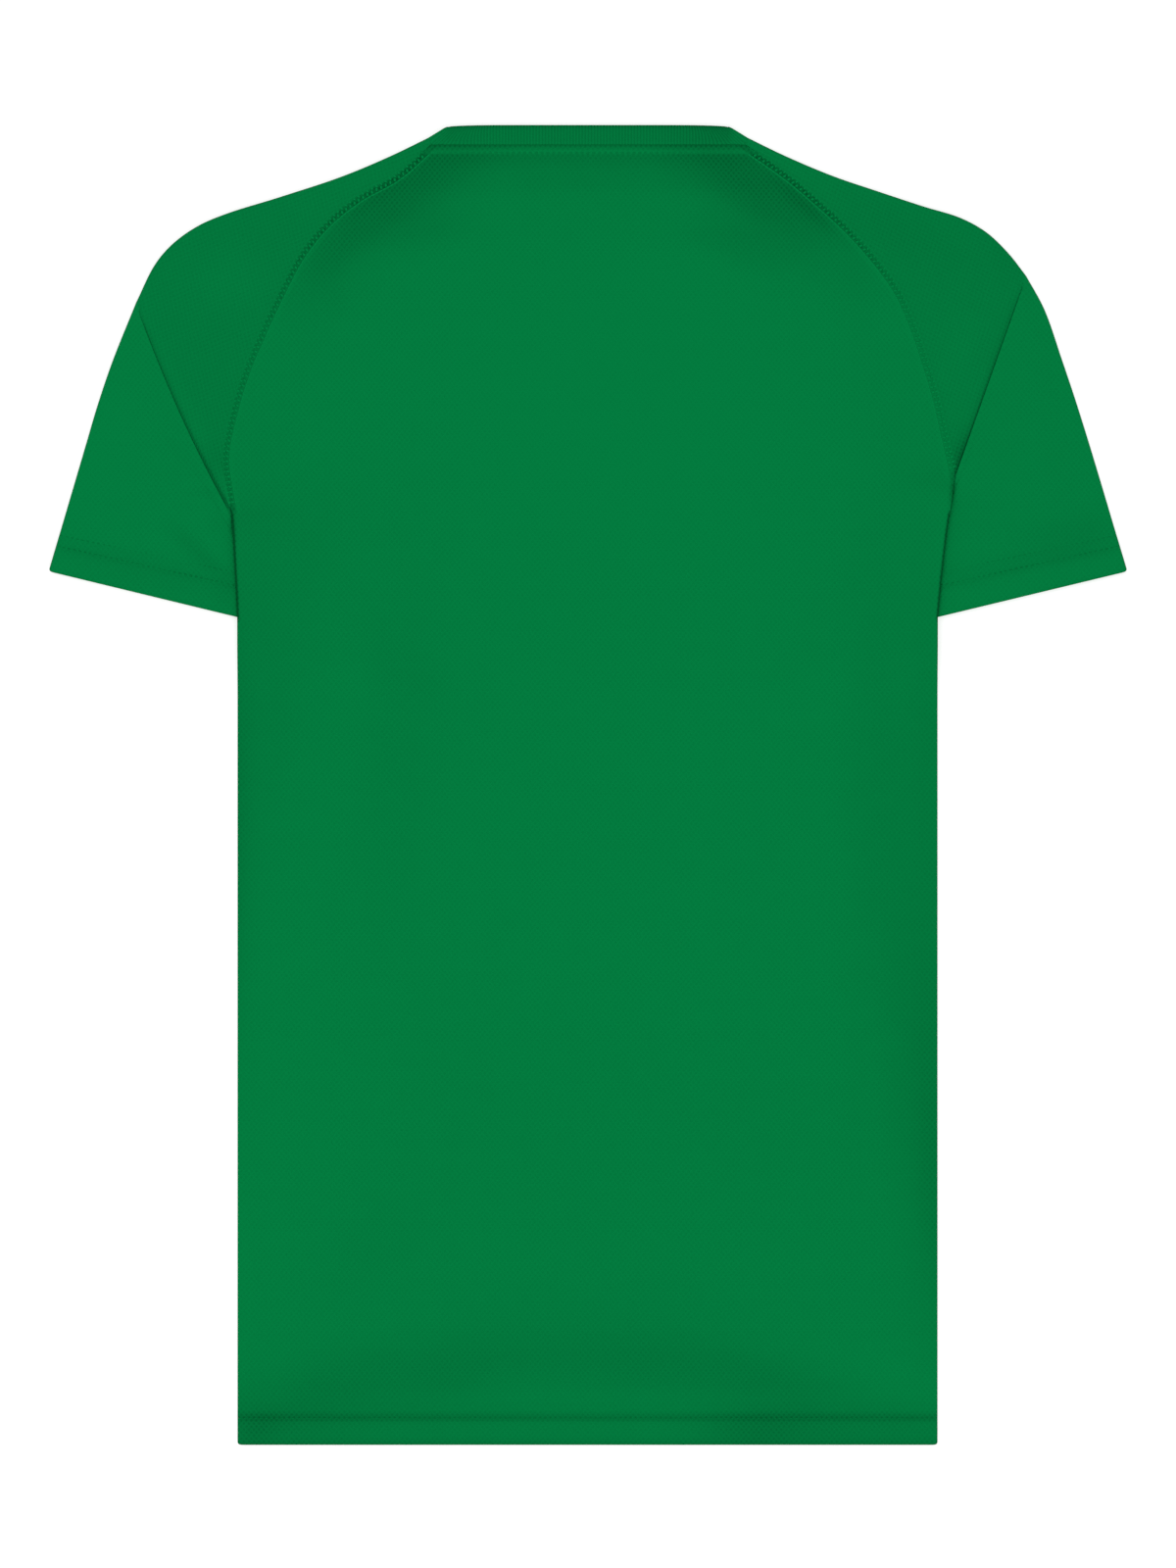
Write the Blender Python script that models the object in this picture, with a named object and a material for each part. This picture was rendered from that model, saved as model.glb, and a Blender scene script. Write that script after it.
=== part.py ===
"""Crew-neck running t-shirt with raglan sleeves, laid flat on its front, so its back is up.

Metres, +Z up, +Y towards the neck, +X to the right when the back is looked at from above. The
origin lies on the surface that carries the shirt, under the middle of its box.

The front lies lowest and the back lies on it. Both sleeves are turned down about a point on the
shoulder. That makes a fold from the shoulder to the armpit, with the lower sleeve on top of the
upper one, and it tucks the underarm under the side of the body, which rises over it.
"""
import math
from collections import namedtuple

import bmesh
import bpy
from mathutils import Vector

# Cloth
CLOTH = 0.0010          # one layer
GAP = 0.0003            # between two layers, and across a seam
STEP = CLOTH + GAP      # from one layer to the next
RIB = 0.0012            # back part of the neckband

# Hems
HEM_DEPTH = 0.0140      # from the bottom edge to its stitch line
CUFF_DEPTH = 0.0143     # from the cuff's edge to its stitch line
TURNED_RAISE = 0.00035  # what the turned-in layer adds
STITCH_DIP = 0.0002     # how deep the stitch line pulls the cloth in
STITCH_HALF = 0.0014    # half the width of that dip
CORNER = 0.0012         # rounding of a hem's corners

# Body
TOP_Y = 0.3600          # free edge of the neckband
HEM_Y = -0.3600

# Neck
NECK_SEAM_Y = 0.3496    # straight seam under the back of the neckband
NECK_SEAM_X = 0.0849    # where the back raglan seams meet it
NECK_RIDGE = 0.0050     # seam allowance stitched down under it
RIDGE_RAISE = 0.0003    # what a stitched-down allowance adds
RIDGE_STEP = 0.0010     # over this distance
BAND_CORNER_X = 0.0745  # end of the band's straight free edge
BAND_WIDTH = 0.0102
SCOOP_DEPTH = 0.0850    # front neckline, under the shoulder fold
FRONT_SEAM_X = 0.0770   # where the front raglan seams meet it
NECK_FOLD_FREE = Vector((0.0790, 0.3588))   # right shoulder fold of the band, free edge
NECK_FOLD_SEAM = Vector((0.0872, 0.3531))   # and its seam edge

# Sleeves
SEAM_BAND = 0.0050      # seam allowance stitched down along the back raglan seam
SEAM_BAND_SHARE = 0.4   # of a short row near the neckband
SEAM_BAND_FADE = 0.08   # share of the seam, at the armpit, over which it sinks
TUCKED = 0.0400         # cuff hidden under the body, past the body's edge
ARMPIT_SLOPE = 0.0150   # under the armpit, where body and sleeve change places
FOLD_BOW = 0.0025       # sideways bulge of the left sleeve's fold
FOLD_DEPTH = 0.0060     # open slit under the edge of the fold
FOLD_LIFT = 2 * STEP    # two more layers lie under that edge
FOLD_LEVEL = 0.0170     # as far as this from the edge
FOLD_REACH = 0.0420     # and thin out up to here
FOLD_START = 0.0140     # the fold rises over this distance from the shoulder's edge
FOLD_END = 0.0300       # and sinks over this one at the armpit
FOLD_END_BEFORE = 0.0180    # which starts this far before it
SLIT_OPEN = 0.67        # share of the lift at which the slit is wide open
SLIT_CLOSE = 0.025      # share of the fold, at the armpit, over which the slit closes

# Body over the tucked sleeves
BODY_RISE = 2 * STEP + 2 * TURNED_RAISE
RISE_MARGIN = 0.0090    # level this far past the sleeve's edge
RISE_SLOPE = 0.0360     # then down over this distance
RISE_TOP_SLOPE = 0.0200     # and over up to this much more above the armpit

At = namedtuple("At", "left_x left_y right_x right_y")

SHOULDER = (                # fold on top of the shoulder, from the neckband to the turned-down fold
    At(-0.0872, 0.3531, 0.0872, 0.3531),
    At(-0.1070, 0.3435, 0.1070, 0.3435),
    At(-0.1338, 0.3322, 0.1338, 0.3322),
    At(-0.1691, 0.3205, 0.1573, 0.3242),
    At(-0.1990, 0.3111, 0.1830, 0.3157),
    At(-0.2129, 0.3050, 0.2038, 0.3092),
    At(-0.2266, 0.2953, 0.2172, 0.3017),
    At(-0.2359, 0.2846, 0.2295, 0.2900),
    At(-0.2466, 0.2632, 0.2391, 0.2777),
)
SLEEVE_TOP = (              # the same fold, from there to the corner of the cuff
    At(-0.2466, 0.2632, 0.2391, 0.2777),
    At(-0.2595, 0.2311, 0.2488, 0.2600),
    At(-0.2675, 0.2076, 0.2584, 0.2327),
    At(-0.2740, 0.1856, 0.2675, 0.2054),
    At(-0.2943, 0.1166, 0.2943, 0.1166),
)
RAGLAN_BACK = (             # from the neckband to the armpit
    At(-0.0849, 0.3496, 0.0849, 0.3496),
    At(-0.1049, 0.3322, 0.1097, 0.3322),
    At(-0.1241, 0.3215, 0.1225, 0.3215),
    At(-0.1412, 0.3082, 0.1396, 0.3060),
    At(-0.1568, 0.2894, 0.1568, 0.2873),
    At(-0.1669, 0.2707, 0.1701, 0.2686),
    At(-0.1782, 0.2466, 0.1792, 0.2477),
    At(-0.1862, 0.2279, 0.1856, 0.2284),
    At(-0.1937, 0.2038, 0.1910, 0.2103),
    At(-0.1974, 0.1798, 0.1953, 0.1915),
    At(-0.1947, 0.1501, 0.2001, 0.1696),
)
RAGLAN_FRONT = (            # from the front neckline to the armpit
    At(-0.0770, 0.3128, 0.0770, 0.3128),
    At(-0.1070, 0.2884, 0.1070, 0.2900),
    At(-0.1391, 0.2520, 0.1400, 0.2570),
    At(-0.1659, 0.2092, 0.1680, 0.2180),
    At(-0.1846, 0.1717, 0.1880, 0.1890),
    At(-0.1947, 0.1501, 0.2001, 0.1696),
)
SIDE_SEAM = (               # edge of the body, from the armpit to the hem
    At(-0.1947, 0.1501, 0.2001, 0.1696),
    At(-0.1936, 0.1351, 0.1980, 0.1546),
    At(-0.1927, 0.1180, 0.1955, 0.1380),
    At(-0.1918, 0.1040, 0.1925, 0.1120),
    At(-0.1910, 0.0915, 0.1905, 0.0915),
    At(-0.1910, -0.3600, 0.1905, -0.3600),
)
CUFF_AT_BODY = 4            # the row of SIDE_SEAM where the cuff goes under

# Section across the turned-down fold, from the slit under its edge to the lower sleeve: the place
# of a row before and after folding, and the share of the two extra layers under it
FoldRow = namedtuple("FoldRow", "flat folded layers")
FOLD_ROWS = (
    FoldRow(0.0004, FOLD_DEPTH, 0.0),
    FoldRow(0.0008, FOLD_DEPTH, GAP / FOLD_LIFT),
    FoldRow(0.0012, 0.0010, GAP / FOLD_LIFT),
    FoldRow(0.0016, 0.0000, 0.55),
    FoldRow(0.0022, 0.0010, 1.0),
)

# Rows of a turned edge, from the edge inwards: share of the turned-in layer, dip, corner inset
EdgeRow = namedtuple("EdgeRow", "inward turned dip inset")


def edge_rows(depth):
    return (
        EdgeRow(0.0, 1.0, 0.0, CORNER),
        EdgeRow(CORNER, 1.0, 0.0, 0.0),
        EdgeRow(depth - STITCH_HALF, 1.0, 0.0, 0.0),
        EdgeRow(depth, 0.5, STITCH_DIP, 0.0),
        EdgeRow(depth + STITCH_HALF, 0.0, 0.0, 0.0),
    )


def smooth(share):
    """Rise softly from 0 to 1."""
    share = min(max(share, 0.0), 1.0)
    return share * share * (3 - 2 * share)


def mix(start, end, share):
    return start + (end - start) * share


def turned_left(heading):
    return Vector((-heading.y, heading.x))


class Path:
    """A line in the plan, read by the distance along it."""

    def __init__(self, points, rounded=True):
        self.points = self.curve(points) if rounded else list(points)
        self.reach = [0.0]
        for start, end in zip(self.points, self.points[1:]):
            self.reach.append(self.reach[-1] + (end - start).length)
        self.length = self.reach[-1]

    @staticmethod
    def curve(points, steps=8):
        """A smooth curve through the points, evenly paced however far apart they are."""
        ends = [points[0] * 2 - points[1]] + list(points) + [points[-1] * 2 - points[-2]]
        line = [points[0].copy()]
        for before, start, end, after in zip(ends, ends[1:], ends[2:], ends[3:]):
            span = (end - start).length
            middle = (end - start) / span
            leave = ((start - before).normalized() + middle) * span / 2
            arrive = (middle + (after - end).normalized()) * span / 2
            for step in range(1, steps + 1):
                t = step / steps
                line.append((2 * t**3 - 3 * t**2 + 1) * start + (t**3 - 2 * t**2 + t) * leave
                            + (3 * t**2 - 2 * t**3) * end + (t**3 - t**2) * arrive)
        return line

    def along(self, distance):
        """Point at a distance from the start, straight on past either end."""
        index = 0
        while index < len(self.points) - 2 and self.reach[index + 1] < distance:
            index += 1
        span = self.reach[index + 1] - self.reach[index]
        share = (distance - self.reach[index]) / span
        return mix(self.points[index], self.points[index + 1], share)

    def heading(self, distance, reach=0.0005):
        return (self.along(distance + reach) - self.along(distance - reach)).normalized()

    def distance_at(self, y):
        """Distance at which the line, which runs down, passes a height."""
        index = 0
        while index < len(self.points) - 2 and self.points[index + 1].y > y:
            index += 1
        start, end = self.points[index], self.points[index + 1]
        return mix(self.reach[index], self.reach[index + 1], (start.y - y) / (start.y - end.y))

    def x_at(self, y):
        return self.along(self.distance_at(y)).x

    def moved(self, distance):
        """The same line, moved to the left of its heading."""
        points = []
        for index, point in enumerate(self.points):
            before = self.points[max(index - 1, 0)]
            after = self.points[min(index + 1, len(self.points) - 1)]
            points.append(point + turned_left((after - before).normalized()) * distance)
        return Path(points, rounded=False)


class Side:
    """Seam lines of one side of the shirt. Sign is -1 on the left and 1 on the right.

    Each seam has a line for the body's piece and one for the sleeve's, a gap apart.
    """

    def __init__(self, sign):
        def pick(table):
            if sign < 0:
                return [Vector((row.left_x, row.left_y)) for row in table]
            return [Vector((row.right_x, row.right_y)) for row in table]

        half = sign * GAP / 2
        self.sign = sign
        self.shoulder = Path(pick(SHOULDER))
        self.sleeve_top = Path(pick(SLEEVE_TOP))
        self.body_back = Path(pick(RAGLAN_BACK)).moved(-half)
        self.sleeve_back = Path(pick(RAGLAN_BACK)).moved(half)
        self.body_front = Path(pick(RAGLAN_FRONT)).moved(-half)
        self.sleeve_front = Path(pick(RAGLAN_FRONT)).moved(half)
        side_seam = Path(pick(SIDE_SEAM), rounded=False)
        self.body_side = side_seam.moved(-half)
        self.pivot = pick(SHOULDER)[-1]
        self.armpit = pick(SIDE_SEAM)[0]
        self.tuck = side_seam.along(ARMPIT_SLOPE)
        cuff_corner, cuff_at_body = pick(SLEEVE_TOP)[-1], pick(SIDE_SEAM)[CUFF_AT_BODY]
        cuff = (cuff_at_body - cuff_corner).normalized()
        self.cuff_end = cuff_at_body + cuff * TUCKED
        self.cuff_normal = turned_left(cuff) * sign
        self.beside_body = Path([self.armpit, self.tuck], rounded=False).moved(half)
        self.underarm = Path([self.beside_body.points[-1], self.cuff_end], rounded=False)
        self.inwards = turned_left(self.underarm.heading(0.01)) * -sign
        self.fold = (self.armpit - self.pivot).normalized()
        self.fold_length = (self.armpit - self.pivot).length
        self.fold_normal = turned_left(self.fold) * sign

    def pile(self, spot, from_edge):
        """Share of the fold's two extra layers that lie under the lower sleeve at a spot."""
        along = (spot - self.pivot).dot(self.fold)
        across = max((spot - self.pivot).dot(self.fold_normal), 0.0)
        start = smooth(from_edge / FOLD_START)
        end = 1 - smooth((along - self.fold_length + FOLD_END_BEFORE) / FOLD_END)
        thin = 1 - smooth((across - FOLD_LEVEL) / (FOLD_REACH - FOLD_LEVEL))
        return start * end * thin

    def rise(self, spot):
        """Share of the body's rise over the tucked sleeve at a spot."""
        past_underarm = (spot - self.tuck).dot(self.inwards)
        past_cuff = (spot - self.cuff_end).dot(self.cuff_normal)
        from_side = min(max((self.armpit.x - spot.x) * self.sign, 0.0), RISE_TOP_SLOPE)
        share = 1 - smooth((past_underarm - RISE_MARGIN) / RISE_SLOPE)
        share *= 1 - smooth((past_cuff - RISE_MARGIN) / RISE_SLOPE)
        return share * (1 - smooth((spot.y - self.tuck.y) / (ARMPIT_SLOPE + from_side)))


LEFT, RIGHT = Side(-1), Side(1)


def neck_curve(angle, grow, widest=NECK_FOLD_SEAM.x):
    """Front neck seam, half an ellipse, by the angle down from the right shoulder."""
    return Vector(((widest + grow) * math.cos(angle),
                   NECK_FOLD_SEAM.y - (SCOOP_DEPTH + grow) * math.sin(angle)))


def slab(name, outer, inner, ring=False):
    """Close two grids of points, the two faces of a wall, into one solid."""
    shape = bmesh.new()
    walls = [[[shape.verts.new(point) for point in row] for row in grid] for grid in (outer, inner)]
    last_row, last_column = len(outer) - 1, len(outer[0]) - 1

    def quad(a, b, c, d):
        shape.faces.new((a, b, c))
        shape.faces.new((a, c, d))

    for i in range(len(outer) if ring else last_row):
        k = (i + 1) % len(outer)
        for wall in walls:
            for j in range(last_column):
                quad(wall[i][j], wall[k][j], wall[k][j + 1], wall[i][j + 1])
        for j in (0, last_column):
            quad(walls[0][i][j], walls[1][i][j], walls[1][k][j], walls[0][k][j])
    for i in () if ring else (0, last_row):
        for j in range(last_column):
            quad(walls[0][i][j], walls[0][i][j + 1], walls[1][i][j + 1], walls[1][i][j])
    bmesh.ops.recalc_face_normals(shape, faces=shape.faces)
    mesh = bpy.data.meshes.new(name)
    shape.to_mesh(mesh)
    shape.free()
    mesh.shade_smooth()
    mesh.set_sharp_from_angle(angle=math.radians(40))
    piece = bpy.data.objects.new(name, mesh)
    bpy.context.scene.collection.objects.link(piece)
    return piece


# Body panels: rows across the shirt, from the hem up
PanelRow = namedtuple("PanelRow", "y turned dip inset raised", defaults=(0.0, 0.0, 0.0, 0.0))

PANEL_EDGE_COLUMNS = (0.0, 0.008, 0.016, 0.025, 0.034, 0.043, 0.054, 0.066, 0.080, 0.098, 0.120, 0.144,
                      0.168)
PANEL_WIDTH = 0.3815
STRAIGHT_ROWS = 3       # of the front, above the armpits, level with the back's
SAGGING_ROWS = 7        # of the front, above those


def panel_shares():
    """Columns as shares of a row's width, closer together over the tucked sleeves."""
    shares = [distance / PANEL_WIDTH for distance in PANEL_EDGE_COLUMNS]
    return shares + [0.5] + [1 - share for share in reversed(shares)]


def lower_panel_rows():
    """Rows that both panels share, from the hem to the higher armpit."""
    rows = [PanelRow(HEM_Y + edge.inward, edge.turned, edge.dip, edge.inset)
            for edge in edge_rows(HEM_DEPTH)]
    plain = [HEM_Y + 0.060 * step for step in range(1, 7)]
    armpits = []
    for side in (LEFT, RIGHT):
        armpits += [side.tuck.y, (side.tuck.y + side.armpit.y) / 2, side.armpit.y]
    over_sleeves = [0.026 + 0.011 * step for step in range(13)]
    over_sleeves = [y for y in over_sleeves if all(abs(y - near) > 0.004 for near in armpits)]
    return rows + [PanelRow(y) for y in plain + sorted(over_sleeves + armpits)]


def panel_edges(y, raglans):
    """X of a panel's left and right edge at a height."""
    edges = []
    for side, raglan in zip((LEFT, RIGHT), raglans):
        line = raglan if y > side.armpit.y else side.body_side
        edges.append(line.x_at(y))
    return edges


def build_panel(name, rows, raglans, layer, sag=None):
    """A body panel. Layer is its place in the pile, 0 or 1; sag bends its upper rows down."""
    outer, inner = [], []
    for row in rows:
        left, right = panel_edges(row.y, raglans)
        turned = row.turned * TURNED_RAISE
        below = layer * (STEP + turned)
        above = below + CLOTH + turned + row.raised - layer * row.dip
        outer.append([])
        inner.append([])
        for share in panel_shares():
            spot = Vector((mix(left + row.inset, right - row.inset, share), row.y))
            if sag:
                spot.y -= sag(row.y, share)
            rise = BODY_RISE * max(LEFT.rise(spot), RIGHT.rise(spot))
            outer[-1].append(Vector((spot.x, spot.y, above + rise)))
            inner[-1].append(Vector((spot.x, spot.y, below + rise)))
    return slab(name, outer, inner)


def upper_back_levels():
    """Heights of the back's rows above the armpits, up to its neck edge."""
    edge = NECK_SEAM_Y - GAP / 2
    return [0.180 + 0.011 * step for step in range(15)] + [edge - NECK_RIDGE - RIDGE_STEP, edge]


def build_back():
    *upper, edge = upper_back_levels()
    ridge = [PanelRow(edge - NECK_RIDGE, raised=RIDGE_RAISE),
             PanelRow(edge - RIDGE_STEP, raised=RIDGE_RAISE),
             PanelRow(edge)]
    rows = lower_panel_rows() + [PanelRow(y) for y in upper] + ridge
    return build_panel("back", rows, (LEFT.body_back, RIGHT.body_back), layer=1)


def build_front():
    """The front's top rows sag towards the middle until they follow the neckline."""
    rows = lower_panel_rows() + [PanelRow(y) for y in upper_back_levels()[:STRAIGHT_ROWS]]
    straight_y = rows[-1].y
    widest = NECK_FOLD_SEAM.x + GAP / 2
    corner_y = neck_curve(math.acos(FRONT_SEAM_X / widest), GAP / 2).y
    raglans = (LEFT.body_front, RIGHT.body_front)
    top_left, top_right = panel_edges(corner_y, raglans)
    rows += [PanelRow(mix(straight_y, corner_y, step / SAGGING_ROWS))
             for step in range(1, SAGGING_ROWS + 1)]

    def sag(y, share):
        reach = max(y - straight_y, 0.0) / (corner_y - straight_y)
        angle = math.acos(mix(top_left, top_right, share) / widest)
        return (corner_y - neck_curve(angle, GAP / 2).y) * reach ** 2

    return build_panel("front", rows, raglans, layer=0, sag=sag)


# Sleeves: each row runs from the back seam over the shoulder fold to the front seam
SleeveRow = namedtuple("SleeveRow", "fold normal back front bow arc strip lower edge")
LOWER_ROWS = 6
UPPER_SHARES = (0.0, 0.07, 0.16, 0.32, 0.52, 0.76, 1.0)
UNDER_SHARES = (0.0, 0.2, 0.4, 0.6, 0.8, 1.0)
SHOULDER_TURNS = (45, 90, 135)
PLAIN_EDGE = EdgeRow(0.0, 0.0, 0.0, 0.0)


def upper_sleeve_rows(side):
    """Rows from the neckband to the turned-down fold, level with the back's rows at the seam."""
    seam, shoulder = side.sleeve_back, side.shoulder
    levels = upper_back_levels()[:-1] + [row.y for row in lower_panel_rows()]
    levels = sorted((y for y in levels if y > side.armpit.y), reverse=True)
    rows = []
    for distance in [GAP] + [seam.distance_at(y) for y in levels] + [seam.length]:
        share = distance / seam.length
        on_shoulder = max(share * shoulder.length, GAP)
        rows.append(SleeveRow(
            fold=shoulder.along(on_shoulder),
            normal=turned_left(shoulder.heading(on_shoulder)) * side.sign,
            back=seam.along(distance),
            front=side.sleeve_front.along(share * side.sleeve_front.length),
            bow=share ** 2, arc=(1 - share) ** 4, strip=smooth((1 - share) / SEAM_BAND_FADE),
            lower=False, edge=PLAIN_EDGE))
    return rows


def lower_row(side, on_top, on_underarm, edge=PLAIN_EDGE):
    """A row of the lower sleeve, by the distances along its two edges."""
    bow = (1 - on_top / side.sleeve_top.length) ** 2
    if on_underarm <= ARMPIT_SLOPE:
        end = side.beside_body.along(on_underarm)
    else:
        end = side.underarm.along(on_underarm - ARMPIT_SLOPE)
    return SleeveRow(fold=side.sleeve_top.along(on_top),
                     normal=turned_left(side.sleeve_top.heading(on_top)) * side.sign,
                     back=end, front=end, bow=bow, arc=0.0, strip=0.0, lower=True, edge=edge)


def fold_slant(side):
    """How far to go along each edge for a step straight across the turned-down fold."""
    top = abs(side.sleeve_top.heading(0.002).dot(side.fold_normal))
    underarm = abs(side.beside_body.heading(0.002).dot(side.fold_normal))
    return 1 / top, 1 / underarm


def lower_sleeve_rows(side):
    """Rows from the turned-down fold to the cuff."""
    top_slant, underarm_slant = fold_slant(side)
    tuck_on_top = ARMPIT_SLOPE * top_slant / underarm_slant
    end_on_top, end_on_underarm = side.sleeve_top.length, ARMPIT_SLOPE + side.underarm.length
    lean = abs(side.underarm.heading(0.01).dot(side.cuff_normal))
    band = CUFF_DEPTH + STITCH_HALF
    rows = [lower_row(side, tuck_on_top / 2, ARMPIT_SLOPE / 2)]
    for step in range(LOWER_ROWS):
        share = step / LOWER_ROWS
        rows.append(lower_row(side, mix(tuck_on_top, end_on_top - band, share),
                              mix(ARMPIT_SLOPE, end_on_underarm - band / lean, share)))
    for edge in reversed(edge_rows(CUFF_DEPTH)):
        rows.append(lower_row(side, end_on_top - edge.inward,
                              end_on_underarm - edge.inward / lean, edge))
    return rows


def sleeve_section(side, row, fold_row=None):
    """Outer and inner points of one row: upper layer, shoulder fold, lower layer."""
    turned = row.edge.turned * TURNED_RAISE
    low_inside, top_inside = CLOTH + turned, STEP + turned
    height = 2 * CLOTH + GAP + 2 * turned
    radius = height / 2
    start = row.fold - row.normal * radius
    bow = FOLD_BOW * row.bow if side is LEFT else 0.0
    length = (row.back - start).length
    strip = min(SEAM_BAND / length, SEAM_BAND_SHARE)
    step = strip * RIDGE_STEP / SEAM_BAND
    plain = 1 - strip - step
    shares = [share * plain for share in UPPER_SHARES] + [1 - strip, 1 - step, 1.0]
    outer, inner = [], []
    for share in reversed(shares):
        spot = mix(start, row.back, share) + side.fold_normal * bow * math.sin(math.pi * share)
        top = height - row.edge.dip
        face = spot
        if fold_row:
            edge = side.pile(spot - side.fold_normal * fold_row.flat, share * length)
            opened = smooth(edge / SLIT_OPEN) * smooth((1 - share) / SLIT_CLOSE)
            face = spot + side.fold_normal * opened * (fold_row.folded - fold_row.flat)
            top += edge * FOLD_LIFT * fold_row.layers
        elif row.lower:
            top += side.pile(spot, share * length) * FOLD_LIFT
        elif plain < share < 1:
            top += RIDGE_RAISE * row.strip
        outer.append(Vector((face.x, face.y, top)))
        inner.append(Vector((spot.x, spot.y, top_inside)))
    for turn in SHOULDER_TURNS:
        reach, drop = math.sin(math.radians(turn)), math.cos(math.radians(turn))
        spot = start + row.normal * radius * reach
        outer.append(Vector((spot.x, spot.y, radius * (1 + drop))))
        spot = start + row.normal * GAP / 2 * reach
        inner.append(Vector((spot.x, spot.y, low_inside + GAP / 2 * (1 + drop))))
    arc_end = math.acos(FRONT_SEAM_X / (NECK_FOLD_SEAM.x + GAP / 2))
    arc = [neck_curve(arc_end * share, GAP / 2) for share in UNDER_SHARES]
    for share, on_arc in zip(UNDER_SHARES, arc):
        bulge = (on_arc - mix(arc[0], arc[-1], share)) * row.arc
        spot = mix(start, row.front, share) + Vector((bulge.x * side.sign, bulge.y))
        outer.append(Vector((spot.x, spot.y, 0.0)))
        inner.append(Vector((spot.x, spot.y, low_inside)))
    return outer, inner


def build_sleeve(name, side):
    top_slant, underarm_slant = fold_slant(side)
    sections = [sleeve_section(side, row) for row in upper_sleeve_rows(side)]
    for fold_row in FOLD_ROWS:
        row = lower_row(side, fold_row.flat * top_slant, fold_row.flat * underarm_slant)
        sections.append(sleeve_section(side, row, fold_row))
    sections += [sleeve_section(side, row) for row in lower_sleeve_rows(side)]
    return slab(name, [outer for outer, _ in sections], [inner for _, inner in sections])


# Neckband: a flattened ring, over the back from left to right, then along the front. Turn is the
# angle around the shoulder fold, 0 on top and 180 below
BandStation = namedtuple("BandStation", "free seam turn side")
BACK_STEPS = 12
FRONT_STEPS = 26
TURNS = range(0, 181, 30)
BAND_SHARES = (0.0, 0.5, 1.0)


def band_stations():
    stations = []
    for step in range(BACK_STEPS + 1):
        across = 2 * step / BACK_STEPS - 1
        free = Vector((BAND_CORNER_X * across, TOP_Y))
        seam = Vector(((NECK_SEAM_X - GAP) * across, NECK_SEAM_Y + GAP / 2))
        stations.append(BandStation(free, seam, 0, None))
    for turn in TURNS:
        stations.append(BandStation(NECK_FOLD_FREE, NECK_FOLD_SEAM, turn, 1))
    free_depth = NECK_FOLD_FREE.y - NECK_FOLD_SEAM.y + SCOOP_DEPTH - BAND_WIDTH
    for step in range(1, FRONT_STEPS):
        angle = math.pi * step / FRONT_STEPS
        free = Vector((NECK_FOLD_FREE.x * math.cos(angle),
                       NECK_FOLD_FREE.y - free_depth * math.sin(angle)))
        stations.append(BandStation(free, neck_curve(angle, -GAP / 2), 180, None))
    for turn in reversed(TURNS):
        stations.append(BandStation(NECK_FOLD_FREE, NECK_FOLD_SEAM, turn, -1))
    return stations


def build_neckband():
    outer_radius, inner_radius = (STEP + RIB) / 2, GAP / 2
    outwards = turned_left((NECK_FOLD_SEAM - NECK_FOLD_FREE).normalized())
    walls = []
    for radius, middle in ((outer_radius, outer_radius), (inner_radius, CLOTH + GAP / 2)):
        rows = []
        for station in band_stations():
            turn = math.radians(station.turn)
            height = middle + radius * math.cos(turn)
            row = []
            for share in BAND_SHARES:
                spot = mix(station.free, station.seam, share)
                if station.side:
                    spot = spot + outwards * (radius * math.sin(turn) - outer_radius)
                    spot.x *= station.side
                row.append(Vector((spot.x, spot.y, height)))
            rows.append(row)
        walls.append(rows)
    return slab("neckband", *walls, ring=True)


def paint(piece, colour, roughness):
    material = bpy.data.materials.new(piece.name + "_cloth")
    material.use_nodes = True
    surface = material.node_tree.nodes["Principled BSDF"]
    surface.inputs["Base Color"].default_value = (*colour, 1.0)
    surface.inputs["Roughness"].default_value = roughness
    surface.inputs["Metallic"].default_value = 0.0
    piece.data.materials.append(material)


def main():
    for old in list(bpy.data.objects):
        bpy.data.objects.remove(old, do_unlink=True)
    knit_green = (0.0010, 0.2016, 0.0482)
    rib_green = (0.0008, 0.1650, 0.0420)
    paint(build_front(), knit_green, 0.62)
    paint(build_back(), knit_green, 0.62)
    paint(build_sleeve("sleeve_left", LEFT), knit_green, 0.62)
    paint(build_sleeve("sleeve_right", RIGHT), knit_green, 0.62)
    paint(build_neckband(), rib_green, 0.70)


main()
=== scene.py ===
"""Running t-shirt laid flat with its back up: cloth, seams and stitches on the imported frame.

Metres, +Z up, +Y towards the neck. The back lies on the front. Both sleeves are turned down about
a point on the shoulder, and their underarms are tucked under the sides of the body.
"""
import math
from collections import namedtuple

import bpy
import numpy as np
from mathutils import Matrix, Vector


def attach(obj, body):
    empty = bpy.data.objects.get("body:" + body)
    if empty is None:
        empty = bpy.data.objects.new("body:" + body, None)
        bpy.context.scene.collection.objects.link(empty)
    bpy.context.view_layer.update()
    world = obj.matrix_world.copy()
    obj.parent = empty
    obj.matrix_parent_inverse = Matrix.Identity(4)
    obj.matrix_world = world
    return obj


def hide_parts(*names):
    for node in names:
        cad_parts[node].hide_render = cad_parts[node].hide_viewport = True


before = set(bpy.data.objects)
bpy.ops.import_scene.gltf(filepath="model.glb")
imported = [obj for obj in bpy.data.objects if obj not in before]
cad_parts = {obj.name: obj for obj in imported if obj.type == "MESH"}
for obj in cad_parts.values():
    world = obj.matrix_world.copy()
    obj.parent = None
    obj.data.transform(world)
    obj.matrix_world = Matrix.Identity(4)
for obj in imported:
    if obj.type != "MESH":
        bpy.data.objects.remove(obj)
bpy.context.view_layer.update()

# Cloth layers
CLOTH = 0.0010          # one layer
GAP = 0.0003            # between two layers
SEAM = -0.0003          # between two pieces that are sewn together: they overlap a little
STEP = CLOTH + GAP
RIB = 0.0012            # back part of the neckband
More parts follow.
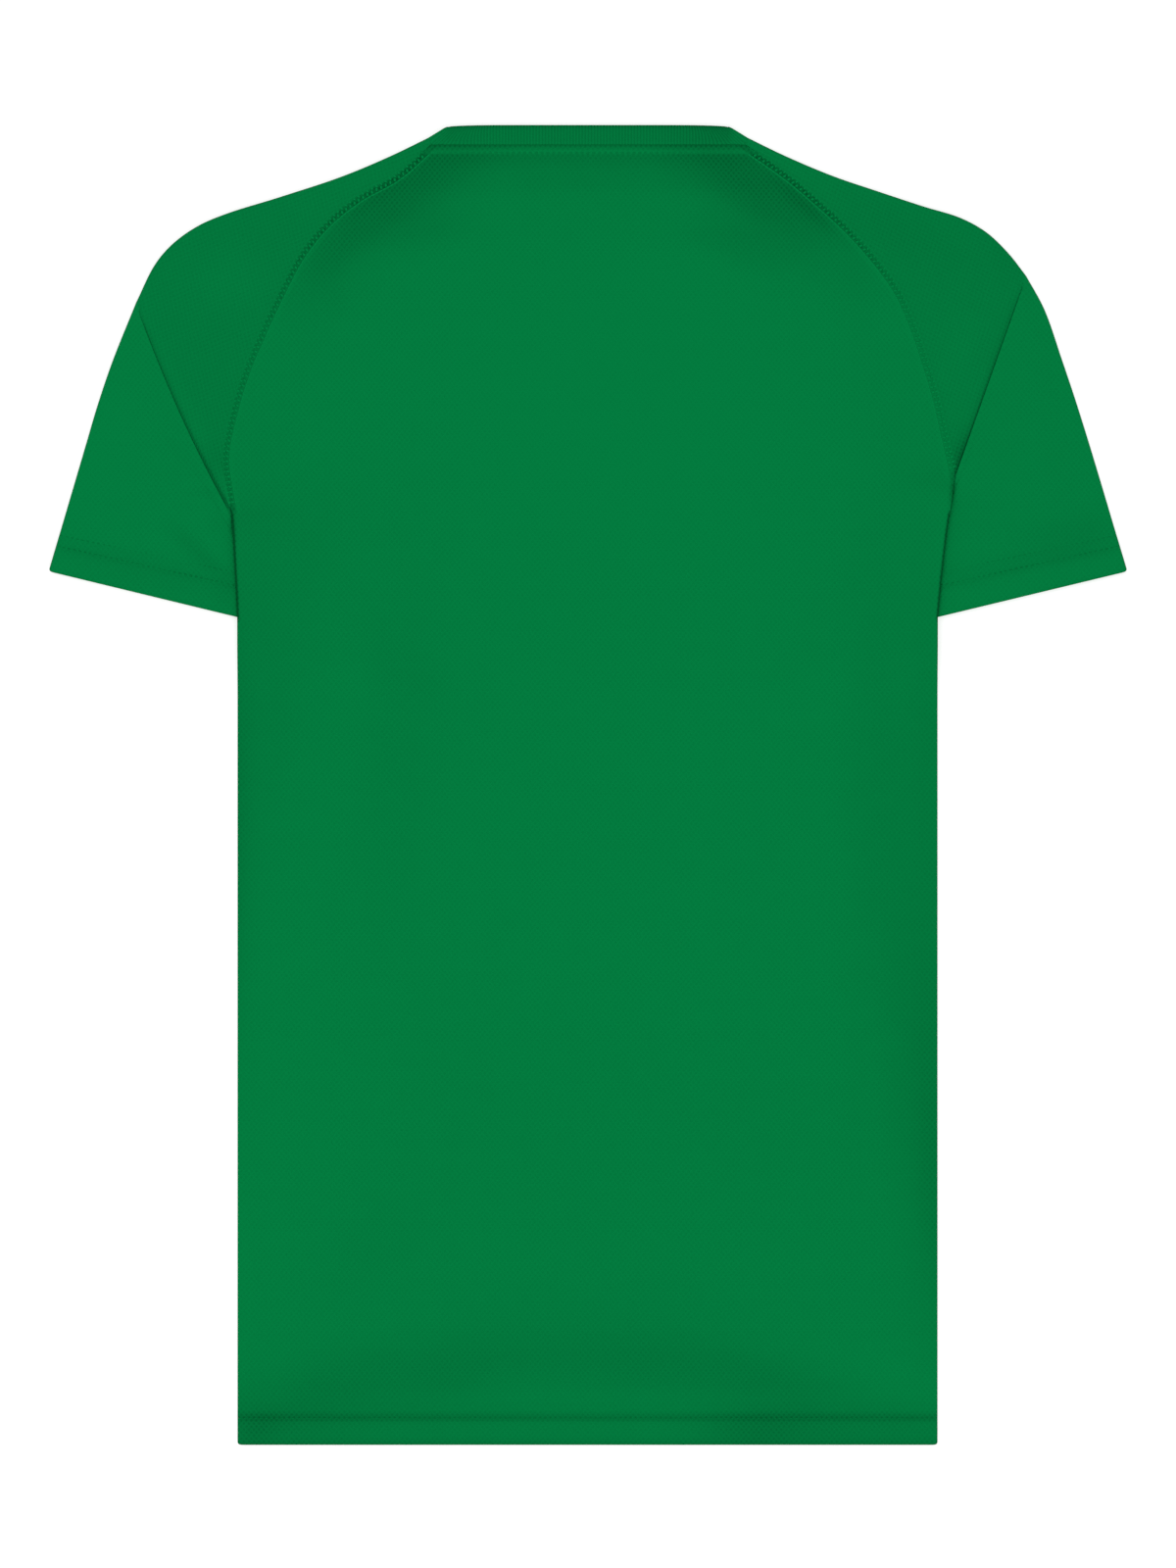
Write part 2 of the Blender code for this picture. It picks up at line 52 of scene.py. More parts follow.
TURNED_RAISE = 0.00035  # what the turned-in layer of a hem adds
EDGE_ROUND = 0.0008     # how far in from its edge cloth rounds off
EDGE_DROP = 0.0004      # and by how much
SEAM_DROP = 0.00012     # the same beside a raglan seam
CORNER = 0.0016         # rounding of the corners of the hem and the cuffs
FAR = 1.0               # stands for no seam, cuff or fold nearby

# Hems: two rows of stitches, the outer one pulled tighter
HEM_STITCH = 0.0144     # outer row, from the edge
HEM_STITCH_GAP = 0.0060
HEM_DIP, HEM_DIP_INNER = 0.00055, 0.00020
DIP_HALF = 0.0024
TURNED_END = (0.0006, 0.0016)   # where the turned-in layer ends past the inner row, and its fall
HEM_SIDE_FADE = 0.0015          # the hem's relief fades towards its ends
CUFF_SPREAD = 1.18      # the cuff's stitch lines lie further in beside the body
CUFF_TURNED_FALL = 0.0040       # how softly the cuff's turned-in layers end

# Body
TOP_Y = 0.3600
HEM_Y = -0.3600
PANEL_WIDTH = 0.3815
LOFT = 0.0021           # how far the middle of the back stands off the front
SAG = 0.00022           # how far creases can press it into the gap
FRONT_STRAIGHT_Y = 0.2020   # above it, the front's rows bend down to the neckline
FRONT_HEM_DIP, FRONT_NECK_PAINTED_SHADING = 0.8, 0.7       # shares of the back's, on the side that lies down

# Neck
NECK_SEAM_Y = 0.3496
NECK_SEAM_X = 0.0849
NECK_RIDGE = 0.0052     # seam allowance stitched down under the neckband
RIDGE_RAISE = 0.00045
RIDGE_START, RIDGE_END = 0.0012, 0.0009     # widths of its two slopes
NECK_FADE = 0.0060      # the raglan seam's shade fades at the neck seam
BAND_CORNER_X = 0.0745
BAND_WIDTH = 0.0102
BAND_DOME = 0.0004
BAND_EDGES = ((0.0006, 0.08), (0.0004, 0.06))   # drop and share of the width, free and sewn edge
BAND_FALL = 0.0007      # its top edge's fall towards the corners
SCOOP_DEPTH = 0.0850
FRONT_SEAM_X = 0.0770
NECK_FOLD_FREE = np.array((0.0786, 0.3584))
NECK_FOLD_FILL = np.array((-0.00155, 0.00161))      # what the corner reaches up on top
BAND_REACH = 1.04       # the band's seam edge goes in under the back's
NECK_FOLD_SEAM = np.array((0.0872, 0.3531))
NECK_WIDEST = NECK_FOLD_SEAM[0] + SEAM / 2
NECK_ARC_END = math.acos(FRONT_SEAM_X / NECK_WIDEST)    # where the front panel's neckline starts

# Raglan seams: a sunk ladder of cross stitches with a ridge on the body's side
LADDER_SHIFT = 0.0010   # middle of the ladder, into the body
LADDER_HALF = 0.0024
LADDER_DEPTH = 0.00032
BODY_RIDGE = 0.0036     # the ridge's place, from the seam
BODY_RIDGE_RAISE = 0.00035
SLEEVE_RIDGE = 0.0026
SEAM_RIDGE_HALF = 0.0016
SLEEVE_RIDGE_FADE = 0.020       # it fades towards the turned-down fold
SLEEVE_LADDER_DEPTH = 0.00024
SLEEVE_LADDER_HALF = 0.0013
SLEEVE_SEAM_ROUND = 0.0006
LADDER_MIDDLE = 0.0016  # its two rows of stitches, on the body's and on the sleeve's side
LOOPS_MIDDLE = 0.0004
STITCH_SUNK = 0.00004
STITCHES_FOLLOW = 0.8   # they follow this share of the hollow's depth
CORD_SUNK = 0.00016
CORD_MIDDLE = 0.0032    # thin light cord of thread along the ridge
PULL_Y, PULL_REACH = 0.300, 0.060       # the seam is drawn in less below this height
PULL_LEFT, PULL_RIGHT = 0.85, 0.38
# The seam's ridge carries painted highlight, which fades near the neck
RIDGE_FADE_Y, RIDGE_FADE_REACH, RIDGE_FADE = 0.295, 0.030, 0.7      # its light ridge, near the neck

# Sleeves
TUCKED = 0.0400
ARMPIT_SLOPE = 0.0150
FOLD_BOW = 0.0025
FOLD_DEPTH = 0.0060
FOLD_BACK = {-1: 0.0014, 1: 0.0008}     # how far its edge stands back from its line, left and right
FOLD_LIFT = 0.0010      # two layers, pressed thin
FOLD_LEVEL = 0.0170
FOLD_REACH = 0.0420
FOLD_START = 0.0140
FOLD_END = 0.0300
FOLD_END_BEFORE = 0.0180
SLIT_OPEN = 0.67
SLIT_CLOSE = 0.025

# Body over the tucked sleeves
BODY_RISE = 2 * STEP + 2 * TURNED_RAISE
RISE_MARGIN = 0.0090
RISE_SLOPE = 0.0360
RISE_TOP_SLOPE = 0.0200

# Where cloth is free of what holds it: start and reach of a soft rise, by the distance from the
# hem, the neck, the side and the raglan seam, and on a sleeve from the fold and the cuff
LOFT_FREE = ((0.016, 0.060), (0.005, 0.045), (0.0, 0.050), (0.005, 0.035))
CREASE_FREE = ((0.018, 0.008), (0.006, 0.008), (0.0, 0.010), (0.005, 0.008))
FRONT_FREE = ((0.018, 0.020), (0.004, 0.020), (0.002, 0.030))
LOWER_FREE = ((0.001, 0.006), (0.002, 0.006))
LOWER_LOFT_FREE = ((0.0, 0.030), (0.0, 0.020), (0.018, 0.030))
UPPER_FREE = ((0.004, 0.012),)
SLEEVE_LOFT = 0.0007
SLEEVE_EDGE_CALM = 0.008

Waves = namedtuple("Waves", "height reach phase")
FINE_WAVES = Waves(0.00016, 0.019, 1.0)
WIDE_WAVES = Waves(0.00030, 0.043, 2.0)
LOWER_WAVES = Waves(0.00014, 0.012, 3.0)
UPPER_WAVES = Waves(0.00012, 0.013, 4.0)

At = namedtuple("At", "left_x left_y right_x right_y")

SHOULDER = (                # fold on top of the shoulder, from the neckband to the turned-down fold
    At(-0.0872, 0.3531, 0.0872, 0.3531),
    At(-0.1070, 0.3435, 0.1070, 0.3435),
    At(-0.1338, 0.3322, 0.1338, 0.3322),
    At(-0.1691, 0.3205, 0.1573, 0.3242),
    At(-0.1990, 0.3111, 0.1830, 0.3157),
    At(-0.2129, 0.3050, 0.2038, 0.3092),
    At(-0.2266, 0.2953, 0.2172, 0.3017),
    At(-0.2359, 0.2846, 0.2295, 0.2900),
    At(-0.2466, 0.2632, 0.2391, 0.2777),
)
SLEEVE_TOP = (              # the same fold, from there to the corner of the cuff
    At(-0.2466, 0.2632, 0.2391, 0.2777),
    At(-0.2595, 0.2311, 0.2488, 0.2600),
    At(-0.2675, 0.2076, 0.2584, 0.2327),
    At(-0.2740, 0.1856, 0.2675, 0.2054),
    At(-0.2943, 0.1166, 0.2943, 0.1166),
)
RAGLAN_BACK = (             # from the neckband to the armpit
    At(-0.0849, 0.3496, 0.0849, 0.3496),
    At(-0.1049, 0.3322, 0.1097, 0.3322),
    At(-0.1241, 0.3215, 0.1225, 0.3215),
    At(-0.1412, 0.3082, 0.1396, 0.3060),
    At(-0.1568, 0.2894, 0.1568, 0.2873),
    At(-0.1669, 0.2707, 0.1701, 0.2686),
    At(-0.1782, 0.2466, 0.1792, 0.2477),
    At(-0.1862, 0.2279, 0.1856, 0.2284),
    At(-0.1937, 0.2038, 0.1910, 0.2103),
    At(-0.1984, 0.1788, 0.1953, 0.1915),
    At(-0.1947, 0.1501, 0.2001, 0.1696),
)
RAGLAN_FRONT = (            # from the front neckline to the armpit
    At(-0.0770, 0.3128, 0.0770, 0.3128),
    At(-0.1070, 0.2884, 0.1070, 0.2900),
    At(-0.1391, 0.2520, 0.1400, 0.2570),
    At(-0.1659, 0.2092, 0.1680, 0.2180),
    At(-0.1846, 0.1717, 0.1880, 0.1890),
    At(-0.1947, 0.1501, 0.2001, 0.1696),
)
SIDE_SEAM = (               # edge of the body, from the armpit to the hem
    At(-0.1947, 0.1501, 0.2001, 0.1696),
    At(-0.1932, 0.1351, 0.1979, 0.1546),
    At(-0.1923, 0.1180, 0.1954, 0.1380),
    At(-0.1915, 0.1040, 0.1924, 0.1120),
    At(-0.1910, 0.0915, 0.1905, 0.0915),
    At(-0.1910, -0.3600, 0.1905, -0.3600),
)
CUFF_AT_BODY = 4            # the row of SIDE_SEAM where the cuff goes under

# Soft creases, in millimetres: a trough from one point to another. A negative depth is a ridge.
Crease = namedtuple("Crease", "x0 y0 x1 y1 width depth")
CREASE_ENDS = 0.35          # depth at a crease's ends, as a share of its middle's
BACK_CREASES = (
    Crease(-98, 140, -92, -110, 26, 0.55),      # long hollow left of the middle
    Crease(-150, 120, -140, -60, 20, 0.20),
    Crease(60, 180, 95, 20, 24, 0.25),
    Crease(-165, -296, -60, -306, 11, 0.75),    # hollow above the hem, in stretches
    Crease(-60, -306, 60, -301, 12, 0.80),
    Crease(60, -301, 172, -334, 10, 0.80),
    Crease(-178, -322, -120, -333, 6, 0.35),
    Crease(-110, -326, 140, -331, 6, -0.30),    # roll between the hollow and the hem
    Crease(-88, 340, -135, 306, 15, 0.85),      # pulls along the raglan seams
    Crease(60, 336, 122, 312, 17, 0.95),
    Crease(84, 300, 110, 286, 13, 0.45),
    Crease(-122, 290, -108, 270, 14, 0.35),
    Crease(-170, 205, -150, 165, 9, 0.22),      # drags at the armpits
    Crease(176, 215, 158, 172, 9, 0.22),
    Crease(176, -50, 179, -290, 14, 0.60),      # side fall on the right
    Crease(-181, 20, -182, -250, 9, 0.30),
    Crease(-40, -180, -10, -290, 26, 0.20),
    Crease(110, -120, 128, -260, 22, 0.25),
)
LEFT_LOWER_CREASES = (
    Crease(-237, 202, -214, 173, 3.4, 0.42),
    Crease(-232, 188, -219, 170, 2.4, -0.20),
    Crease(-226, 138, -203, 120, 3.4, 0.50),
    Crease(-216, 138, -203, 129, 2.6, 0.28),
    Crease(-207, 162, -200, 160, 3.0, 0.25),
    Crease(-209, 146, -200, 143, 2.6, 0.22),
    Crease(-252, 205, -262, 130, 8.0, 0.22),
    Crease(-226, 116, -205, 107, 3.4, 0.30),
)
LEFT_UPPER_CREASES = (
    Crease(-216, 226, -204, 199, 3.0, 0.40),
    Crease(-223, 222, -210, 196, 2.6, 0.25),
    Crease(-208, 268, -196, 246, 5.0, 0.22),
    Crease(-226, 268, -214, 240, 4.0, 0.16),
    Crease(-196, 300, -188, 262, 7.0, 0.25),
    Crease(-205, 215, -199, 196, 2.2, -0.18),
)
RIGHT_LOWER_CREASES = (
    Crease(227, 207, 217, 188, 2.8, 0.40),
    Crease(222, 206, 212, 186, 2.2, -0.18),
    Crease(215, 182, 201, 138, 4.0, 0.30),
    Crease(264, 151, 242, 138, 4.5, 0.28),
    Crease(204, 128, 199, 122, 3.6, 0.35),
    Crease(250, 215, 262, 150, 9.0, 0.18),
)
RIGHT_UPPER_CREASES = (
    Crease(206, 240, 198, 216, 3.4, 0.35),
    Crease(214, 262, 205, 236, 3.0, 0.18),
    Crease(196, 300, 190, 264, 8.0, 0.25),
    Crease(212, 232, 205, 214, 2.4, -0.16),
)
FRONT_CREASES = (           # on the side that lies on the surface
    Crease(-90, 150, -60, -60, 22, -0.30),
    Crease(80, 120, 70, -120, 24, -0.35),
    Crease(-150, -290, -20, -310, 11, -0.30),
    Crease(10, -305, 150, -290, 11, -0.30),
    Crease(-120, 230, -60, 200, 12, -0.25),
    Crease(120, 235, 66, 205, 12, -0.25),
)

# Painted shade where the cloth falls away and looks darker, in millimetres, with its own
# half-lengths; a negative amount is painted light
Shade = namedtuple("Shade", "x y along across turn amount")
BACK_SHADES = (
    Shade(-106, 319, 48, 17, 36, 0.34),     # under the raglan seams
    Shade(-68, 338, 26, 13, 25, 0.05),
    Shade(-119, 318.5, 26, 4, 33, 0.12),
    Shade(118.6, 317, 26, 5, -41, 0.14),
    Shade(121, 315, 24, 7, -41, 0.11),
    Shade(-146, 282, 30, 14, 55, 0.14),
    Shade(-85, 302, 22, 10, 20, 0.11),
    Shade(92, 325, 50, 17, -34, 0.35),
    Shade(72, 302, 18, 9, 0, 0.06),
    Shade(58, 336, 26, 13, -15, 0.03),
    Shade(88, 295, 28, 10, -10, 0.10),
    Shade(150, 276, 16, 12, -50, 0.07),
    Shade(100, 282, 28, 10, -15, 0.05),
    Shade(-135, 264, 16, 10, 40, 0.04),
    Shade(0, 335, 70, 14, 0, 0.05),
    Shade(10, 302, 70, 14, 0, 0.03),
    Shade(0, -292, 200, 26, 0, 0.05),       # hollow above the hem
    Shade(-150, -332, 42, 20, 16, 0.18),
    Shade(-80, -321, 48, 21, 9, 0.165),
    Shade(20, -317, 58, 21, -3, 0.15),
    Shade(106, -329, 50, 19, -12, 0.18),
    Shade(-165, -352, 30, 9, 0, 0.04),
    Shade(-178, -350, 12, 7, 15, 0.12),
    Shade(172, -345, 26, 14, -20, 0.03),
    Shade(-188, -342, 12, 26, 0, 0.08),     # hem
    Shade(92, -352, 28, 10, 0, 0.17),
    Shade(135, -352, 55, 9, 0, 0.05),
    Shade(158, -20, 140, 18, 90, 0.09),     # right side
    Shade(186, 20, 100, 12, 90, 0.10),
    Shade(186, -170, 110, 13, 90, 0.19),
    Shade(170, -120, 90, 9, 90, 0.05),
    Shade(192, -230, 60, 10, 90, 0.08),
    Shade(-185, 60, 110, 22, 90, 0.09),     # left side
    Shade(-192, -30, 110, 8, 90, 0.16),
    Shade(-140, 150, 35, 25, 0, 0.05),
    Shade(-160, 70, 50, 20, 90, 0.05),
    Shade(-104, 20, 110, 24, 85, 0.06),     # middle
    Shade(-120, -250, 40, 25, 30, 0.06),
    Shade(60, -200, 110, 90, 0, 0.04),
    Shade(-60, -170, 90, 60, 0, 0.03),
    Shade(20, 215, 100, 75, 0, -0.07),
)
FRONT_SHADES = (
    Shade(-100, 270, 44, 16, 40, 0.22),
    Shade(100, 270, 44, 16, -40, 0.22),
    Shade(-70, -318, 90, 18, 5, 0.16),
    Shade(80, -314, 90, 18, -7, 0.16),
    Shade(-184, -120, 150, 14, 90, 0.14),
    Shade(182, -60, 150, 14, 90, 0.12),
    Shade(0, 160, 90, 70, 0, -0.05),
)
UPPER_SLEEVE_SHADES = (
    Shade(-203, 176, 10, 6, -66, 0.10),     # beside the folds, at the armpits
    Shade(204, 177, 14, 7, 72, 0.34),
    Shade(234, 250, 22, 8, 65, 0.07),
    Shade(203, 238, 22, 9, 75, -0.05),
    Shade(-195, 275, 22, 14, 0, -0.08),
    Shade(165, 305, 50, 16, -25, 0.06),
    Shade(228, 290, 20, 10, -50, 0.06),
)
LOWER_SLEEVE_SHADES = (
    Shade(-219, 133, 12, 5, -38, 0.11),     # drags from the left armpit to the cuff
    Shade(-206, 121, 12, 4.5, -38, 0.10),
    Shade(-208, 158.5, 10, 2.2, -5, 0.10),
    Shade(-208, 154, 10, 2, -5, -0.06),
    Shade(-202, 144, 7, 5, 60, 0.05),
    Shade(-199, 105, 7, 9, 0, 0.08),
    Shade(-238, 112, 50, 8, -14, 0.06),
    Shade(-262, 188, 32, 18, 70, -0.05),
    Shade(264, 136, 28, 11, 15, 0.10),
    Shade(236, 170, 30, 12, 70, -0.03),
    Shade(232, 280, 16, 9, -50, 0.06),
)
# Painted shadow along the deep line that runs on from each fold
ARMPIT_SHADES = (           # the deep line that runs on from each fold
    Shade(-194, 143, 9, 1.5, 96, 0.45),
    Shade(199, 162, 9, 1.6, 82, 0.50),
)

# Painted shade of the cloth by the distance from an edge or a seam, in millimetres
# A negative value is painted highlight, on ridges and crests
HEM_PAINTED_SHADE = ((0, 0.55), (0.6, 0.38), (1.1, 0.28), (2.1, 0.19), (3.5, 0.12), (5.0, 0.09),
            (12.0, 0.08), (13.2, 0.14), (14.2, 0.26), (15.0, 0.32), (16.0, 0.26), (17.2, 0.17),
            (18.2, 0.09), (19.3, 0.02), (20.3, 0.05), (21.5, 0.03), (26.0, 0))
EDGE_PAINTED_SHADE = ((0, 0.30), (0.4, 0.18), (0.8, 0.06), (1.4, 0))
NECK_PAINTED_SHADING = ((0, 0.10), (0.4, 0.30), (0.9, 0.38), (1.4, 0.30), (2.0, 0.21), (2.8, 0.13),
             (3.4, 0.02), (4.2, -0.06), (4.9, -0.11), (5.3, -0.02), (5.9, 0.14), (6.6, 0.19),
             (9.6, 0.16), (13.0, 0.09), (30.0, 0))
BAND_PAINTED_SHADING = ((0, 0.60), (0.3, 0.42), (0.6, 0.22), (1.1, 0.18), (2.1, 0.05), (3.5, 0), (8.4, 0),
             (9.0, -0.08), (9.7, -0.03), (10.2, 0.20))
BODY_SEAM_PAINTED_SHADING = ((0, 0.22), (0.8, 0.30), (2.0, 0.34), (2.6, 0.22), (3.1, 0.03), (3.6, -0.11),
                  (4.3, -0.08), (5.3, 0))
SLEEVE_SEAM_PAINTED_SHADING = ((0, 0.20), (0.6, 0.20), (1.1, 0.08), (1.6, 0.0), (2.2, -0.05), (3.0, -0.05),
                    (4.0, 0))
CUFF_PAINTED_SHADE = ((0, 0.22), (0.5, 0.12), (1.1, 0.05), (1.8, 0.01), (3.0, 0), (8.5, 0), (10.5, 0.03),
             (12.4, 0.04), (13.0, 0.02), (13.6, 0.05), (14.5, 0.11), (15.1, 0.08), (16.2, 0.05),
             (17.8, 0.01), (19.3, 0))
# Painted shadow on the upper sleeve beside each fold's edge; the left one's negative values are
# painted light
FOLD_PAINTED_SHADING = {               # left and right
    -1: ((0, 0.60), (1.4, 0.28), (2.0, 0.06), (3.5, -0.03), (5.0, -0.05), (8.0, -0.03), (10.0, 0)),
    1: ((0, 0.70), (0.8, 0.45), (1.5, 0.14), (3.0, 0.05), (5.0, 0)),
}
FOLD_PAINTED_SHADING_START, FOLD_PAINTED_SHADING_REACH = 0.25, 0.070      # its share at the shoulder, and its growth
# Painted shade inside the slit under the fold's edge, and where the shoulder fold turns over
SLIT_PAINTED_SHADE = 0.70            # inside the slit under the fold's edge
SLEEVE_EDGE_PAINTED_SHADE = 0.32     # where the shoulder fold turns over
# Painted shadow on the lower sleeve beside the body's edge, and on the body's edge where it lies
# over the sleeve
UNDERARM_PAINTED_SHADE = ((0, 0.60), (0.3, 0.25), (0.6, 0.05), (1.0, 0))
UNDERARM_FADE = 0.003       # metres above the armpit
BESIDE_SLEEVE_PAINTED_SHADE = ((0, 1.1), (0.5, 1.0), (0.9, 0.42), (1.3, 0.10), (1.8, 0))
BESIDE_SLEEVE_RIGHT = 0.75  # share of it on the right
BESIDE_SLEEVE_END = (0.089, 0.002)      # height of the cuff beside the body, and its fade there

PHOTO_PIXEL = 0.000535      # metres of shirt in one pixel of the photograph
PHOTO_SIZE = (1200, 1600)
PHOTO_CENTRE_Y = 0.0005


def smooth(share):
    """Rise softly from 0 to 1."""
    share = np.clip(share, 0.0, 1.0)
    return share * share * (3 - 2 * share)


def mix(start, end, share):
    return start + (end - start) * share


def painted_shading(table, distance):
    """Painted shading at a distance in metres, from one of the tables: shade where positive,
    highlight where negative.
    """
    return np.interp(distance * 1000, *np.array(table).T)


def corner_inset(distance):
    """How far a rounded corner stands in, by the distance from the edge below it."""
    inside = np.clip(CORNER - distance, 0.0, CORNER)
    return CORNER - np.sqrt(CORNER ** 2 - inside ** 2)


def free_share(distances, fades):
    """Share that rises from 0 to 1 away from everything that holds the cloth."""
    share = 1.0
    for distance, (start, reach) in zip(distances, fades):
        share = share * smooth((distance - start) / reach)
    return share


def bump_at(distance, middle, half):
    """A soft bump of height 1 around a distance."""
    return smooth(1 - np.abs(distance - middle) / half)


def turned_left(heading):
    return np.stack([-heading[..., 1], heading[..., 0]], axis=-1)


class Path:
    """A line in the plan, read by the distance along it."""

    def __init__(self, points, rounded=True):
        points = np.array(points, float)
        self.points = self.curve(points) if rounded else points
        spans = np.linalg.norm(np.diff(self.points, axis=0), axis=1)
        self.reach = np.concatenate([[0.0], np.cumsum(spans)])
        self.length = self.reach[-1]

    @staticmethod
    def curve(points, steps=8):
        """A smooth curve through the points, evenly paced however far apart they are."""
        ends = [points[0] * 2 - points[1], *points, points[-1] * 2 - points[-2]]
        line = [points[0]]
        for before, start, end, after in zip(ends, ends[1:], ends[2:], ends[3:]):
            span = np.linalg.norm(end - start)
            middle = (end - start) / span
            leave = ((start - before) / np.linalg.norm(start - before) + middle) * span / 2
            arrive = (middle + (after - end) / np.linalg.norm(after - end)) * span / 2
            for step in range(1, steps + 1):
                t = step / steps
                line.append((2 * t**3 - 3 * t**2 + 1) * start + (t**3 - 2 * t**2 + t) * leave
                            + (3 * t**2 - 2 * t**3) * end + (t**3 - t**2) * arrive)
        return np.array(line)

    def along(self, distance):
        return np.stack([np.interp(distance, self.reach, self.points[:, axis]) for axis in (0, 1)],
                        axis=-1)

    def heading(self, distance, reach=0.0005):
        ahead = self.along(distance + reach) - self.along(distance - reach)
        return ahead / np.linalg.norm(ahead, axis=-1, keepdims=True)

    def distance_at(self, y):
        """Distance at which the line, which runs down, passes a height."""
        return np.interp(-np.asarray(y), -self.points[:, 1], self.reach)

    def x_at(self, y):
        return self.along(self.distance_at(y))[..., 0]

    def moved(self, distance):
        """The same line, moved to the left of its heading."""
        before = np.vstack([self.points[:1], self.points[:-1]])
        after = np.vstack([self.points[1:], self.points[-1:]])
        heading = (after - before) / np.linalg.norm(after - before, axis=1, keepdims=True)
        return Path(self.points + turned_left(heading) * distance, rounded=False)


class Side:
    """Seam lines of one side of the shirt. Sign is -1 on the left and 1 on the right."""

    def __init__(self, sign):
        def pick(table):
            return np.array([row[:2] if sign < 0 else row[2:] for row in table])

        half = sign * SEAM / 2
        self.sign = sign
        self.shoulder = Path(pick(SHOULDER))
        self.sleeve_top = Path(pick(SLEEVE_TOP))
        self.raglan = Path(pick(RAGLAN_BACK))
        self.body_back = self.raglan.moved(-half)
        self.sleeve_back = self.raglan.moved(half)
        self.front_raglan = Path(pick(RAGLAN_FRONT))
        self.body_front = self.front_raglan.moved(-half)
        self.sleeve_front = self.front_raglan.moved(half)
        side_seam = Path(pick(SIDE_SEAM), rounded=False)
        self.body_side = side_seam.moved(-half)
        self.pivot = pick(SHOULDER)[-1]
        self.armpit = pick(SIDE_SEAM)[0]
        self.tuck = side_seam.along(ARMPIT_SLOPE)
        cuff_corner, cuff_at_body = pick(SLEEVE_TOP)[-1], pick(SIDE_SEAM)[CUFF_AT_BODY]
        cuff = cuff_at_body - cuff_corner
        cuff = cuff / np.linalg.norm(cuff)
        self.cuff_end = cuff_at_body + cuff * TUCKED
        self.cuff_normal = turned_left(cuff) * sign
        self.beside_body = Path([self.armpit, self.tuck], rounded=False).moved(half)
        self.underarm = Path([self.beside_body.points[-1], self.cuff_end], rounded=False)
        self.inwards = turned_left(self.underarm.heading(0.01)) * -sign
        fold = self.armpit - self.pivot
        self.fold_length = np.linalg.norm(fold)
        self.fold = fold / self.fold_length
        self.fold_normal = turned_left(self.fold) * sign
        over = self.shoulder.heading(self.shoulder.length) + self.sleeve_top.heading(0.0)
        self.over_normal = turned_left(over / np.linalg.norm(over)) * sign

    def pile(self, spot, from_edge):
        """Share of the fold's two extra layers that lie under the lower sleeve."""
        along = (spot - self.pivot) @ self.fold
        across = np.maximum((spot - self.pivot) @ self.fold_normal, 0.0)
        start = smooth(from_edge / FOLD_START)
        end = 1 - smooth((along - self.fold_length + FOLD_END_BEFORE) / FOLD_END)
        thin = 1 - smooth((across - FOLD_LEVEL) / (FOLD_REACH - FOLD_LEVEL))
        return start * end * thin

    def rise(self, spot):
        """Share of the body's rise over the tucked sleeve."""
        past_underarm = (spot - self.tuck) @ self.inwards
        past_cuff = (spot - self.cuff_end) @ self.cuff_normal
        from_side = np.clip((self.armpit[0] - spot[..., 0]) * self.sign, 0.0, RISE_TOP_SLOPE)
        share = 1 - smooth((past_underarm - RISE_MARGIN) / RISE_SLOPE)
        share = share * (1 - smooth((past_cuff - RISE_MARGIN) / RISE_SLOPE))
        return share * (1 - smooth((spot[..., 1] - self.tuck[1]) / (ARMPIT_SLOPE + from_side)))


LEFT, RIGHT = Side(-1), Side(1)


def relief(spot, table):
    """How far soft creases lower the cloth, in metres."""
    total = np.zeros(spot.shape[:-1])
    for crease in table:
        start = np.array((crease.x0, crease.y0)) / 1000
        line = np.array((crease.x1, crease.y1)) / 1000 - start
        share = np.clip((spot - start) @ line / (line @ line), 0.0, 1.0)
        away = np.linalg.norm(spot - start - share[..., None] * line, axis=-1)
        taper = mix(CREASE_ENDS, 1.0, np.sin(math.pi * np.clip(share, 0.02, 0.98)))
        total += crease.depth / 1000 * taper * np.exp(-(away / crease.width * 1000) ** 2)
    return total


def unevenness(spot, waves):
    """Low waves that no laid cloth is free of: four sines that cross at odd angles."""
    x, y = spot[..., 0] / waves.reach, spot[..., 1] / waves.reach
    total = sum(np.sin(per_x * x + per_y * y + per_phase * waves.phase) for per_x, per_y, per_phase
                in ((1.0, 0.7, 1.0), (-0.4, 1.3, 2.1), (1.9, -0.9, 0.6), (1.1, 2.3, 1.7)))
    return waves.height * total / 4


# Painted shade, or painted light where an amount is negative, from a table of places
def shade_of(spot, table):
    total = np.zeros(spot.shape[:-1])
    for place in table:
        away = spot - np.array((place.x, place.y)) / 1000
        turn = math.radians(place.turn)
        along = away @ np.array((math.cos(turn), math.sin(turn))) / place.along * 1000
        across = away @ np.array((-math.sin(turn), math.cos(turn))) / place.across * 1000
        total += place.amount * np.exp(-along ** 2 - across ** 2)
    return total


def seam_pull(spot):
    """How tightly the raglan seams are drawn in: fully towards the neck, least low on the right."""
    lower = smooth((PULL_Y - spot[..., 1]) / PULL_REACH)
    return mix(1.0, np.where(spot[..., 0] > 0, PULL_RIGHT, PULL_LEFT), lower)


def seam_painted_shading(table, distance, spot):
    """Painted shading beside a raglan seam: shade in its hollow as it is drawn in, highlight on its
    ridge, less at the neck.
    """
    amount = painted_shading(table, distance)
    ridge = 1 - RIDGE_FADE * smooth((spot[..., 1] - RIDGE_FADE_Y) / RIDGE_FADE_REACH)
    return amount * np.where(amount > 0, seam_pull(spot), ridge)


def neck_curve(angle, grow):
    """Front neck seam, half an ellipse, by the angle down from the right shoulder."""
    return np.stack([(NECK_FOLD_SEAM[0] + grow) * np.cos(angle),
                     NECK_FOLD_SEAM[1] - (SCOOP_DEPTH + grow) * np.sin(angle)], axis=-1)


def set_values(node, values):
    """Set inputs of a shader or geometry node by their labels."""
    for label, value in values.items():
        node.inputs[label].default_value = value


